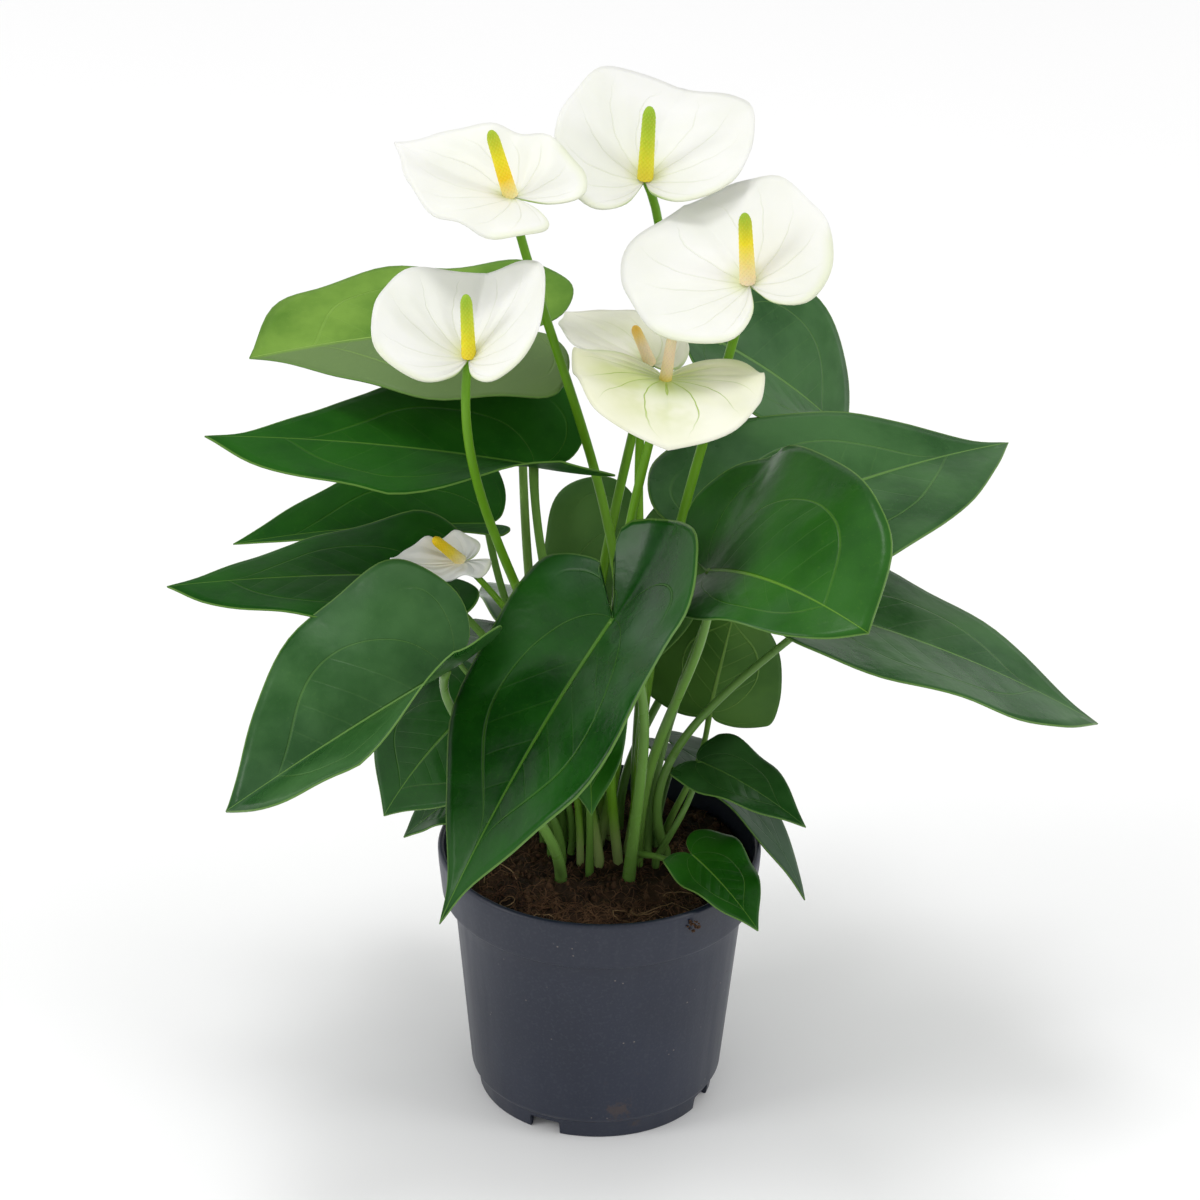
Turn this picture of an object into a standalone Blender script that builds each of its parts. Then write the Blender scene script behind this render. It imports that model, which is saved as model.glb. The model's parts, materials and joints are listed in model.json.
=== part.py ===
import math

import bmesh
import bpy
from mathutils import Matrix, Vector, noise

# Potted anthurium. Tables are in millimetres and degrees, the scene is in metres.
# The origin is the middle of the pot's underside, and the plant's front faces -Y.
MM = 0.001

# Pot
RIM_RADIUS = 60.0
RIM_TOP = 102.0
BAND_BOTTOM = 82.0
BAND_FOOT_RADIUS = 58.2
BODY_TOP_RADIUS = 53.5
BODY_FOOT_RADIUS = 46.5
FOOT_RADIUS = 44.8
FOOT_HEIGHT = 8.0
WALL = 1.4
FLOOR_TOP = 8.5
NOTCH_HEADINGS = (-115.0, -25.0, 65.0, 155.0)
NOTCH_WIDTH = 12.0
NOTCH_HEIGHT = 5.5

# Soil
SOIL_TOP = 94.0
SOIL_LUMP = 2.2
HOLE_DEPTH = 14.0
FIT_GAP = 0.3

# Plant
BLADE_THICKNESS = 0.7
SPATHE_THICKNESS = 0.8
STEM_SIDES_RESOLUTION = 2

for old in list(bpy.data.objects):
    bpy.data.objects.remove(old)

plant = bpy.data.collections.new("potted_anthurium")
bpy.context.scene.collection.children.link(plant)
helpers = bpy.data.collections.new("cutters")
helpers.hide_render = True
bpy.context.scene.collection.children.link(helpers)


def material(name, colour, roughness, metallic=0.0):
    made = bpy.data.materials.new(name)
    made.use_nodes = True
    shader = made.node_tree.nodes["Principled BSDF"]
    shader.inputs["Base Color"].default_value = (*colour, 1.0)
    shader.inputs["Roughness"].default_value = roughness
    shader.inputs["Metallic"].default_value = metallic
    return made


pot_plastic = material("pot_plastic", (0.042, 0.052, 0.075), 0.42)
peat = material("peat", (0.060, 0.032, 0.018), 0.95)
leaf_green = material("leaf_green", (0.020, 0.125, 0.022), 0.30)
spathe_white = material("spathe_white", (0.85, 0.85, 0.78), 0.45)
spadix_yellow = material("spadix_yellow", (0.62, 0.60, 0.06), 0.55)
stem_green = material("stem_green", (0.16, 0.40, 0.04), 0.40)


def place(mesh, name, look, collection=plant):
    made = bpy.data.objects.new(name, mesh)
    made.data.materials.clear()
    made.data.materials.append(look)
    collection.objects.link(made)
    return made


def cutter(mesh, name):
    made = bpy.data.objects.new(name, mesh)
    made.display_type = "WIRE"
    made.hide_render = True
    helpers.objects.link(made)
    return made


def finished(bm, name):
    bmesh.ops.recalc_face_normals(bm, faces=bm.faces)
    mesh = bpy.data.meshes.new(name)
    bm.to_mesh(mesh)
    bm.free()
    return mesh


def frozen(made):
    """Bakes an object's modifiers into its mesh."""
    graph = bpy.context.evaluated_depsgraph_get()
    mesh = bpy.data.meshes.new_from_object(made.evaluated_get(graph))
    made.modifiers.clear()
    made.data = mesh
    return made


# Pot: one profile turned about the axis, with notches cut in its foot ring
def pot_profile():
    lip = 1.2
    outer = [
        (RIM_RADIUS - WALL * 0.5 - 0.5, RIM_TOP),
        (RIM_RADIUS, RIM_TOP - lip),
        (BAND_FOOT_RADIUS, BAND_BOTTOM + 0.8),
        (BAND_FOOT_RADIUS - 1.0, BAND_BOTTOM),
        (BODY_TOP_RADIUS + 0.6, BAND_BOTTOM - 1.2),
        (BODY_FOOT_RADIUS + 0.4, FOOT_HEIGHT + 1.4),
        (BODY_FOOT_RADIUS - 0.6, FOOT_HEIGHT),
        (FOOT_RADIUS, FOOT_HEIGHT - 0.6),
        (FOOT_RADIUS - 1.0, 0.0),
        (FOOT_RADIUS - 3.0, 0.0),
        (FOOT_RADIUS - 3.4, FOOT_HEIGHT - 3.0),
        (13.0, FOOT_HEIGHT - 3.0),
        (12.0, 0.0),
        (0.0, 0.0),
    ]
    inner = [
        (0.0, FLOOR_TOP),
        (BODY_FOOT_RADIUS - 2.4, FLOOR_TOP),
        (BODY_TOP_RADIUS - 1.2, BAND_BOTTOM - 1.0),
        (BAND_FOOT_RADIUS - 2.0, BAND_BOTTOM + 1.6),
        (RIM_RADIUS - WALL - 1.0, RIM_TOP - 0.8),
        (RIM_RADIUS - WALL * 0.5 - 0.5, RIM_TOP),
    ]
    return outer + inner


def turned(points, name, look, steps, collection=plant):
    mesh = bpy.data.meshes.new(name)
    edges = [(i, i + 1) for i in range(len(points) - 1)]
    mesh.from_pydata([(r * MM, 0.0, z * MM) for r, z in points], edges, [])
    made = place(mesh, name, look, collection)
    screw = made.modifiers.new("turn", "SCREW")
    screw.steps = steps
    screw.render_steps = steps
    screw.use_merge_vertices = True
    screw.merge_threshold = 0.00001
    screw.use_smooth_shade = False
    return made


pot = turned(pot_profile(), "pot", pot_plastic, 36)
for heading in NOTCH_HEADINGS:
    bm = bmesh.new()
    bmesh.ops.create_cube(bm, size=1.0)
    bmesh.ops.scale(bm, vec=(NOTCH_WIDTH * MM, 12 * MM, 2 * NOTCH_HEIGHT * MM), verts=bm.verts)
    bmesh.ops.translate(bm, vec=(0, -(FOOT_RADIUS - 1.5) * MM, 0), verts=bm.verts)
    bmesh.ops.rotate(
        bm, cent=(0, 0, 0), matrix=Matrix.Rotation(math.radians(heading), 3, "Z"), verts=bm.verts
    )
    notch = cutter(finished(bm, "notch"), "foot_notch")
    cut = pot.modifiers.new("foot_notch", "BOOLEAN")
    cut.operation = "DIFFERENCE"
    cut.object = notch


# Leaf and spathe blades: spokes from the point where the stalk joins, bent into shape
LEAF_HALF = (
    (0.87, 0.22),
    (0.68, 0.58),
    (0.44, 0.88),
    (0.16, 1.00),
)
LEAF_LOBE = (
    (0.25, 0.98),
    (0.75, 0.80),
    (1.00, 0.46),
    (0.72, 0.15),
)
SPATHE_HALF = (
    (0.88, 0.22),
    (0.72, 0.58),
    (0.46, 0.88),
    (0.18, 1.00),
)
SPATHE_LOBE = (
    (0.30, 0.97),
    (0.82, 0.76),
    (1.00, 0.42),
    (0.62, 0.12),
)


def outline(half, lobe, leaf):
    """Flat outline points (along, across) in mm, from the tip round the left side to the tip."""
    reach = leaf["length"]
    swing = leaf.get("swing", 0.0)
    sides = []
    for back, spread, hand in zip(leaf["lobe"], leaf["half"], (1, -1)):
        fuller = 1.0 - leaf.get("full", (0.0, 0.0))[0 if hand > 0 else 1]
        side = [(x * reach, y**fuller * spread * hand) for x, y in half]
        side += [(-x * back, y * spread * hand) for x, y in lobe]
        inner, across = side.pop()
        side.append((inner, across + swing * inner))
        sides.append(side)
    sinus = -0.10 * min(leaf["lobe"])
    return [(reach, 0.0)] + sides[0] + [(sinus, swing * sinus)] + sides[1][::-1]


def blade_frame(leaf):
    start = Vector(leaf["joint"])
    along = (Vector(leaf["tip"]) - start).normalized()
    side = Vector((0, 0, 1)).cross(along).normalized()
    up = along.cross(side)
    turn = Matrix.Rotation(math.radians(leaf["turn"]), 3, along)
    return start, along, turn @ side, turn @ up


def blade_point(leaf, frame, s, w):
    """The bent place of the flat point s mm along and w mm to the left."""
    start, along, side, up = frame
    droop = math.radians(leaf.get("droop", 20))
    reach = leaf["length"]
    bend = droop / reach
    if s >= 0:
        a = droop / 2 - bend * s
        x = (math.sin(droop / 2) - math.sin(a)) / bend
        z = (math.cos(a) - math.cos(droop / 2)) / bend
    else:
        a = droop / 2 + math.radians(leaf.get("lift", 0)) * s / max(leaf["lobe"])
        middle = (a + droop / 2) / 2
        x = s * math.cos(middle)
        z = s * math.sin(middle)
    hand = 0 if w >= 0 else 1
    out = abs(w) / leaf["half"][hand]
    near = 1.0 - min(1.0, max(0.0, 2.0 * s / reach))
    fold = math.radians(leaf["fold"][hand] + leaf.get("cup", (0, 0))[hand] * near)
    curl = math.radians(leaf.get("curl", (0, 0))[hand])
    middle = fold + curl * out / 2
    y = abs(w) * math.cos(middle)
    rise = abs(w) * math.sin(middle)
    ripple = math.sin(math.tau * (leaf.get("waves", 2.0) * s / reach + leaf.get("phase", 0.0)) + hand * 2.0)
    rise += leaf.get("wave", 1.5) * ripple * out * out
    forward = along * math.cos(a) + up * math.sin(a)
    upward = up * math.cos(a) - along * math.sin(a)
    at = start + along * x + up * z
    return at + side * (y if w >= 0 else -y) + upward * rise


def blade_mesh(leaf, half, lobe, rings, name):
    rim = outline(half, lobe, leaf)
    frame = blade_frame(leaf)
    bm = bmesh.new()
    centre = bm.verts.new(blade_point(leaf, frame, 0.0, 0.0) * MM)
    inner = None
    for share in rings:
        ring = [bm.verts.new(blade_point(leaf, frame, s * share, w * share) * MM) for s, w in rim]
        for i in range(len(ring)):
            j = (i + 1) % len(ring)
            if inner is None:
                bm.faces.new((centre, ring[i], ring[j]))
            else:
                bm.faces.new((inner[i], ring[i], ring[j], inner[j]))
        inner = ring
    bmesh.ops.triangulate(bm, faces=bm.faces, quad_method="BEAUTY")
    mesh = bpy.data.meshes.new(name)
    bm.to_mesh(mesh)
    bm.free()
    return mesh


def thickened(mesh, name, look, thickness):
    made = place(mesh, name, look)
    skin = made.modifiers.new("thickness", "SOLIDIFY")
    skin.thickness = thickness * MM
    skin.offset = -1.0
    return made


def chord_length(leaf):
    """Length of the midrib whose drooping arc spans from joint to tip."""
    chord = (Vector(leaf["tip"]) - Vector(leaf["joint"])).length
    droop = math.radians(leaf.get("droop", 20))
    return chord * (droop / 2) / math.sin(droop / 2)


def stalk_mesh(points, radii, name):
    curve = bpy.data.curves.new(name, "CURVE")
    curve.dimensions = "3D"
    curve.bevel_depth = MM
    curve.bevel_resolution = STEM_SIDES_RESOLUTION
    curve.use_fill_caps = True
    line = curve.splines.new("POLY")
    line.points.add(len(points) - 1)
    for point, at, radius in zip(line.points, points, radii):
        point.co = (*(at * MM), 1.0)
        point.radius = radius
    guide = bpy.data.objects.new(name, curve)
    bpy.context.scene.collection.objects.link(guide)
    bpy.context.view_layer.update()
    graph = bpy.context.evaluated_depsgraph_get()
    mesh = bpy.data.meshes.new_from_object(guide.evaluated_get(graph))
    bpy.data.objects.remove(guide)
    bm = bmesh.new()
    bm.from_mesh(mesh)
    bmesh.ops.remove_doubles(bm, verts=bm.verts, dist=0.00001)
    bmesh.ops.recalc_face_normals(bm, faces=bm.faces)
    bm.to_mesh(mesh)
    bm.free()
    return mesh


def stalk_path(root, end, arrive, bow, steps=6):
    """From its hole in the soil, upright at first, to the blade. bow moves its lower and upper part."""
    foot = Vector((root[0], root[1], SOIL_TOP - HOLE_DEPTH + FIT_GAP))
    collar = Vector((root[0], root[1], SOIL_TOP + 2))
    reach = (end - collar).length
    first = collar + Vector((bow[0], bow[1], 0.42 * reach))
    last = end - arrive * (0.30 * reach) + Vector((bow[2], bow[3], 0))
    path = [foot, collar]
    for i in range(1, steps + 1):
        t = i / steps
        near = collar * (1 - t) ** 3 + first * (3 * t * (1 - t) ** 2)
        far = last * (3 * t * t * (1 - t)) + end * t ** 3
        path.append(near + far)
    return path


def joined(base, extra):
    union = base.modifiers.new("stalk", "BOOLEAN")
    union.operation = "UNION"
    union.solver = "MANIFOLD"
    union.object = extra
    return union


# Leaves: joint and tip are places on the plant, root is the stalk's hole in the soil.
# fold and curl are (left, right) when looking from the joint to the tip.
LEAVES = {
    "leaf_01": dict(
        root=(-10.5, 17), joint=(-32, 46, 289), tip=(-129, 30, 283), half=(41, 37), lobe=(14, 24),
        turn=0, fold=(-10, 20), curl=(-6, -6), full=(-0.1, 0.75), droop=14, lift=30, stalk=1.95,
        bow=(-22, 18, -3, 34),
    ),
    "leaf_02": dict(
        root=(-7, 10.5), joint=(-26, 10.5, 251.7), tip=(-142, -11.5, 271.7), half=(38, 42),
        lobe=(26, 20), turn=0, fold=(-8, 14), cup=(34, 24), curl=(8, -12), full=(0.5, -0.7), droop=10,
        lift=5, stalk=2.05,
    ),
    "leaf_03": dict(
        root=(-14, 10.5), joint=(-43, 35.5, 215.2), tip=(-136, 27.5, 209.2), half=(14, 35),
        lobe=(8, 8), turn=-6, fold=(20, 14), curl=(0, -8), droop=12, lift=10, stalk=1.8,
    ),
    "leaf_04": dict(
        root=(-17.5, 4), joint=(-65, -4, 214), tip=(-156, -20, 216), half=(32, 32), lobe=(18, 18),
        turn=0, fold=(2, 2), cup=(0, 22), curl=(-6, -10), full=(0.5, -0.3), droop=8, lift=10,
        stalk=1.8, bow=(-6, 15, 31, -3),
    ),
    "leaf_05": dict(
        root=(-14, -15.5), joint=(-55, -57, 203.5), tip=(-131, -88, 163), half=(45, 46), lobe=(28, 20),
        turn=-20, fold=(38, 26), cup=(22, 6), curl=(0, -20), full=(0.5, 0), droop=8, lift=20,
        stalk=2.05, bow=(-1, -36, -17, 15),
    ),
    "leaf_06": dict(
        root=(11, -16), joint=(3, -45, 219), tip=(-56, -97, 124), half=(47, 40), lobe=(44, 16),
        turn=-6, fold=(18, 18), cup=(12, -10), curl=(0, -10), full=(-0.35, -0.4), swing=0.7, droop=18,
        lift=24, stalk=2.2, bow=(4, 0, 12, 0),
    ),
    "leaf_07": dict(
        root=(-14, -2.5), joint=(-49, -2, 157), tip=(-79, -22, 124), half=(36, 36), lobe=(15, 15),
        turn=0, fold=(-6, 10), curl=(-10, -10), droop=24, lift=10, stalk=1.65,
    ),
    "leaf_08": dict(
        root=(-21, 10.5), joint=(-48, 12, 117), tip=(-73, 4, 100), half=(15, 15), lobe=(7, 7), turn=0,
        fold=(10, 10), curl=(0, 0), droop=16, lift=5, stalk=1.25,
    ),
    "leaf_09": dict(
        root=(-3.5, -9), joint=(-5, -24, 174), tip=(-3, -50, 142), half=(14, 17), lobe=(9, 9), turn=0,
        fold=(10, 10), curl=(0, 0), droop=14, lift=5, stalk=1.4,
    ),
    "leaf_10": dict(
        root=(14, -2.5), joint=(37, -39.3, 236), tip=(90, -101.3, 245), half=(52, 23), lobe=(30, 8),
        turn=26, fold=(20, 0), cup=(0, 0), curl=(-10, 0), full=(0.6, 0.5), droop=46, lift=40,
        stalk=2.1,
    ),
    "leaf_11": dict(
        root=(17.5, 4), joint=(47, 17, 224), tip=(150, 79, 231), half=(44, 46), lobe=(22, 22), turn=20,
        fold=(8, 16), curl=(-8, -8), full=(-0.5, 0.2), droop=20, lift=8, stalk=1.95, bow=(1, 7, -1, -6),
    ),
    "leaf_12": dict(
        root=(24.5, 4), joint=(80, 6, 197), tip=(181, -6, 159), half=(38, 42), lobe=(20, 20), turn=-4,
        fold=(14, 2), curl=(-8, 0), full=(-0.3, 0.5), droop=16, lift=10, stalk=1.85,
        bow=(-16, -13, -19, 8),
    ),
    "leaf_13": dict(
        root=(14, 24), joint=(41, 90.2, 265.2), tip=(92, 116.2, 214.2), half=(44, 32), lobe=(20, 20),
        turn=40, fold=(20, 20), curl=(-8, -8), full=(0.5, 0), droop=20, lift=10, stalk=1.8,
        bow=(-5, -30, 0, 12),
    ),
    "leaf_14": dict(
        root=(0, 24), joint=(12, 46, 208), tip=(-4, 22, 146), half=(36, 36), lobe=(16, 16), turn=0,
        fold=(8, 8), curl=(-8, -8), droop=14, lift=5, stalk=1.7,
    ),
    "leaf_15": dict(
        root=(24.5, 17), joint=(40, 26, 144), tip=(49, 12, 200), half=(25, 25), lobe=(6, 6), turn=-40,
        fold=(16, 16), curl=(-8, -8), droop=20, lift=5, stalk=1.4, bow=(3, -13, 0, -17),
    ),
    "leaf_16": dict(
        root=(21, -2.5), joint=(36, 0, 137), tip=(75, -28, 126), half=(16, 16), lobe=(4, 4), turn=8,
        fold=(14, 10), curl=(-6, -6), droop=24, lift=5, stalk=1.35, bow=(6, -8, 0, -4),
    ),
    "leaf_17": dict(
        root=(21, 10.5), joint=(28, 35, 123.5), tip=(77, -3, 80), half=(17, 17), lobe=(9, 9), turn=-10,
        fold=(-6, 8), curl=(0, 0), droop=50, lift=5, stalk=1.4,
    ),
    "leaf_18": dict(
        root=(10.5, -9), joint=(34, -29, 114), tip=(58, -55, 98), half=(18, 14), lobe=(9, 4), turn=0,
        fold=(8, 4), curl=(-6, -6), droop=22, lift=5, stalk=1.35,
    ),
    "leaf_19": dict(
        root=(-10.5, 4), joint=(-61, 6, 195), tip=(-71, 0, 208), half=(7, 7), lobe=(4, 4), turn=0,
        fold=(20, 20), curl=(0, 0), droop=14, lift=5, stalk=1.25, bow=(5, -2, 4, -1),
    ),
    "leaf_20": dict(
        root=(-7, 24), joint=(-8, 66, 160), tip=(-28, 140, 134), half=(36, 36), lobe=(20, 20), turn=0,
        fold=(14, 14), curl=(-6, -6), droop=26, lift=10, stalk=1.8,
    ),
    "leaf_21": dict(
        root=(7, 24), joint=(24, 64, 176), tip=(48, 138, 152), half=(37, 37), lobe=(20, 20), turn=0,
        fold=(14, 14), curl=(-6, -6), droop=26, lift=10, stalk=1.8, bow=(0, 16, 21, -10),
    ),
    "leaf_22": dict(
        root=(-17.5, 17), joint=(-44, 44, 150), tip=(-100, 94, 120), half=(33, 33), lobe=(18, 18),
        turn=0, fold=(14, 14), curl=(-6, -6), droop=24, lift=10, stalk=1.7,
    ),
}

# Blooms: a white spathe on its stem, with the spadix standing on it
BLOOMS = {
    "1": dict(
        root=(0, -2.5), joint=(-48, -38, 316.6), tip=(-44, 8, 327.6), half=(36, 36), lobe=(16, 16),
        turn=8, fold=(12, 46), curl=(10, 10), droop=36, lift=6, spadix=(-49, -42, 341.6), under=1.2,
        stalk=1.9, bow=(-14, 16, -2, -51),
    ),
    "2": dict(
        root=(0, 10.5), joint=(-35, 6, 358), tip=(-76, 22, 371), half=(31, 29), lobe=(20, 22), turn=0,
        fold=(8, 20), curl=(-20, 16), droop=-16, lift=-6, spadix=(-42, 2, 384), under=0.95, stalk=1.9,
        bow=(26, 3, 27, 5),
    ),
    "3": dict(
        root=(3.5, 17), joint=(12, 38, 352), tip=(26, 94, 364), half=(37, 40), lobe=(22, 12), turn=0,
        fold=(28, 16), curl=(10, 10), full=(0.35, 0), droop=34, lift=4, spadix=(13, 34, 381),
        stalk=1.9, bow=(-29, -10, 17, -8),
    ),
    "4": dict(
        root=(14, 10.5), joint=(48, -10, 334), tip=(26, 38, 342), half=(42, 35), lobe=(22, 22),
        turn=-16, fold=(10, 24), curl=(0, 10), droop=32, lift=4, spadix=(46, -15, 362), seat=1.0,
        stalk=2.0, bow=(-4, -9, -11, 4),
    ),
    "5": dict(
        root=(7, -2.5), joint=(20, -25, 303), tip=(21, -70, 298), half=(34, 34), lobe=(16, 16),
        turn=-6, fold=(8, 8), curl=(6, 6), full=(0.5, 0.5), droop=24, lift=6, spadix=(22, -27, 321),
        stalk=1.9, bow=(-11, 0, -7, 5),
    ),
    "6": dict(
        root=(10.5, 4), joint=(15, 10, 293), tip=(-16, 42, 298), half=(27, 16), lobe=(8, 8), turn=0,
        fold=(14, 14), curl=(10, 10), droop=24, lift=6, spadix=(9, 4, 310), seat=1.1, stalk=1.8,
        bow=(12, -15, 3, -3),
    ),
    "7": dict(
        root=(-7, -2.5), joint=(-51, -14, 225), tip=(-76, -24, 231), half=(12, 12), lobe=(9, 9),
        turn=0, fold=(10, 34), curl=(-20, 30), droop=-30, lift=10, spadix=(-61, -18, 236), seat=1.2,
        under=1.0, stalk=1.4, bow=(-1, 10, 23, 28),
    ),
}


def build_leaf(name, leaf):
    leaf["length"] = chord_length(leaf)
    rings = (0.30, 0.60, 0.83, 1.0) if leaf["length"] > 80 else (0.36, 0.72, 1.0)
    made = thickened(blade_mesh(leaf, LEAF_HALF, LEAF_LOBE, rings, name), name, leaf_green, BLADE_THICKNESS)
    start, along, side, up = blade_frame(leaf)
    tilt = math.radians(leaf["droop"] / 2)
    top = up * math.cos(tilt) - along * math.sin(tilt)
    lean = Vector((start.x - leaf["root"][0], start.y - leaf["root"][1], 0)) * 0.006
    arrive = (Vector((0, 0, 1)) + lean + top * 0.4).normalized()
    end = start + top * 0.3
    path = stalk_path(leaf["root"], end, arrive, leaf.get("bow", (0, 0, 0, 0)))
    thick = leaf["stalk"]
    radii = [thick] * 2 + [thick - (thick * 0.28) * i / 6 for i in range(1, 7)]
    stalk = cutter(stalk_mesh(path, radii, name + "_stalk"), name + "_stalk")
    frozen(made)
    joined(made, stalk)
    frozen(made)
    bpy.data.objects.remove(stalk)
    return made


def spadix_mesh(base, tip, radius, name, sides=10, rings=10):
    axis = tip - base
    length = axis.length
    axis.normalize()
    across = axis.orthogonal().normalized()
    other = axis.cross(across)
    bm = bmesh.new()
    rows = []
    for k in range(rings + 1):
        t = k / rings
        if t < 0.82:
            body = radius * (1.0 - 0.22 * t)
        else:
            body = radius * 0.82 * math.sqrt(max(0.0, 1 - ((t - 0.82) / 0.20) ** 2))
        ring = []
        for i in range(sides):
            bump = 1.06 if (i + k) % 2 and 0 < k < rings else 0.98
            a = math.tau * (i + 0.5 * (k % 2)) / sides
            spot = base + axis * (length * t) + (across * math.cos(a) + other * math.sin(a)) * (body * bump)
            ring.append(bm.verts.new(spot * MM))
        rows.append(ring)
    for low, high in zip(rows, rows[1:]):
        for i in range(sides):
            j = (i + 1) % sides
            bm.faces.new((low[i], low[j], high[j], high[i]))
    bm.faces.new(list(reversed(rows[0])))
    bm.faces.new(rows[-1])
    bmesh.ops.triangulate(bm, faces=bm.faces)
    return finished(bm, name)


def build_bloom(number, bloom):
    bloom["length"] = chord_length(bloom)
    name = "spathe_" + number
    rings = (0.30, 0.60, 0.83, 1.0)
    spathe = thickened(
        blade_mesh(bloom, SPATHE_HALF, SPATHE_LOBE, rings, name), name, spathe_white, SPATHE_THICKNESS
    )
    start, along, side, up = blade_frame(bloom)
    tilt = math.radians(bloom["droop"] / 2)
    top = up * math.cos(tilt) - along * math.sin(tilt)
    end = start - top * (SPATHE_THICKNESS + bloom.get("under", 2 * FIT_GAP))
    thick = bloom["stalk"]
    path = stalk_path(bloom["root"], end, top, bloom.get("bow", (0, 0, 0, 0)))
    radii = [thick] * 2 + [thick - (thick * 0.16) * i / 6 for i in range(1, 7)]
    name = "flower_stem_" + number
    place(stalk_mesh(path, radii, name), name, stem_green)
    name = "spadix_" + number
    tip = Vector(bloom["spadix"])
    radius = 0.10 * (tip - start).length
    radius = max(2.2, min(2.9, radius))
    lean = math.degrees((tip - start).angle(top))
    rise = math.radians(sum(bloom["fold"]) / 2 + 0.6 * lean)
    clear = bloom.get("seat", 2 * FIT_GAP) + radius * math.tan(rise)
    place(spadix_mesh(start + (tip - start).normalized() * clear, tip, radius, name), name, spadix_yellow)
    return spathe


for name, leaf in LEAVES.items():
    build_leaf(name, leaf)
for number, bloom in BLOOMS.items():
    build_bloom(number, bloom)


# Soil: a lumpy disc that fills the pot, with a plain hole for each stalk
def soil_mesh(name):
    top_radius = BAND_FOOT_RADIUS - 2.0 + (SOIL_TOP - BAND_BOTTOM) / 20 * 1.2 - 2 * FIT_GAP - 0.4
    steps = 28
    bm = bmesh.new()
    centre = bm.verts.new((0, 0, SOIL_TOP * MM))
    inner = None
    rings = [0.3, 0.52, 0.72, 0.9, 1.0]
    for share in rings:
        ring = []
        for i in range(steps):
            a = math.tau * i / steps
            x = top_radius * share * math.cos(a)
            y = top_radius * share * math.sin(a)
            lump = noise.noise(Vector((x * 0.07, y * 0.07, 3.1)))
            lump += 0.6 * noise.noise(Vector((x * 0.19, y * 0.19, 7.7)))
            z = SOIL_TOP + SOIL_LUMP * lump - 1.5 * max(0.0, share - 0.8) * 5
            ring.append(bm.verts.new((x * MM, y * MM, z * MM)))
        for i in range(steps):
            j = (i + 1) % steps
            if inner is None:
                bm.faces.new((centre, ring[i], ring[j]))
            else:
                bm.faces.new((inner[i], ring[i], ring[j], inner[j]))
        inner = ring
    levels = [
        (BAND_FOOT_RADIUS - 2.0 - 2 * FIT_GAP - 0.5, BAND_BOTTOM + 1.8),
        (BODY_TOP_RADIUS - 1.2 - 2 * FIT_GAP - 0.5, BAND_BOTTOM - 1.4),
        (BODY_FOOT_RADIUS - 2.4 - 2 * FIT_GAP - 0.4, FLOOR_TOP + FIT_GAP),
    ]
    for radius, z in levels:
        ring = []
        for i in range(steps):
            a = math.tau * i / steps
            ring.append(bm.verts.new((radius * math.cos(a) * MM, radius * math.sin(a) * MM, z * MM)))
        for i in range(steps):
            j = (i + 1) % steps
            bm.faces.new((inner[i], ring[i], ring[j], inner[j]))
        inner = ring
    bm.faces.new(list(reversed(inner)))
    bmesh.ops.triangulate(bm, faces=bm.faces)
    return finished(bm, name)


soil = place(soil_mesh("soil"), "soil", peat)
holes = []
for grown in list(LEAVES.values()) + list(BLOOMS.values()):
    bm = bmesh.new()
    radius = (grown["stalk"] + FIT_GAP) / math.cos(math.pi / 6)
    bmesh.ops.create_cone(
        bm, cap_ends=True, segments=6, radius1=radius * MM, radius2=radius * MM, depth=2 * HOLE_DEPTH * MM
    )
    bmesh.ops.translate(bm, vec=(grown["root"][0] * MM, grown["root"][1] * MM, SOIL_TOP * MM), verts=bm.verts)
    holes.append(cutter(finished(bm, "stalk_hole"), "stalk_hole"))
drilled = bpy.data.collections.new("stalk_holes")
drilled.hide_render = True
bpy.context.scene.collection.children.link(drilled)
for hole in holes:
    helpers.objects.unlink(hole)
    drilled.objects.link(hole)
cut = soil.modifiers.new("stalk_holes", "BOOLEAN")
cut.operation = "DIFFERENCE"
cut.operand_type = "COLLECTION"
cut.collection = drilled
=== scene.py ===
import json
import math
import random

import bmesh
import bpy
from mathutils import Matrix, Vector, noise

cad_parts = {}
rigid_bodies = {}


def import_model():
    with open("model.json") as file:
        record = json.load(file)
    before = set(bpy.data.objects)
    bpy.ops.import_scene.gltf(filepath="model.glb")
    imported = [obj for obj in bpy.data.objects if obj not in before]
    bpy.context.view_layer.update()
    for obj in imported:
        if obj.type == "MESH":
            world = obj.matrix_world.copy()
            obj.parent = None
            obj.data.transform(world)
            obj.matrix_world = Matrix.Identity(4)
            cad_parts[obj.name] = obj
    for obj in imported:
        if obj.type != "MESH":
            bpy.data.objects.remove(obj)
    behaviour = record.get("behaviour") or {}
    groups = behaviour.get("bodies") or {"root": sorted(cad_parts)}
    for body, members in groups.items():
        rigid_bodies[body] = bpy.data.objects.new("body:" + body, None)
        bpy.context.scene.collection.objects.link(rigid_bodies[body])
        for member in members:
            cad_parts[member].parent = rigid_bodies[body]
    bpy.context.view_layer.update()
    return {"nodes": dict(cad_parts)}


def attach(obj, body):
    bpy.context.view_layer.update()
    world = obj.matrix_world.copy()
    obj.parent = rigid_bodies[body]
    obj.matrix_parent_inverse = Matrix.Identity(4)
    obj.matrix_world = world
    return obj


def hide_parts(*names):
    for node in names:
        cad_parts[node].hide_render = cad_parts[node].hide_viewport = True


# Potted anthurium: white blooms and glossy heart-shaped leaves in a nursery pot.
# Tables are in millimetres and degrees. The plant's front faces -Y.

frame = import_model()
mm = 0.001
print("frame loaded:", len(frame["nodes"]), "nodes")


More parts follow.
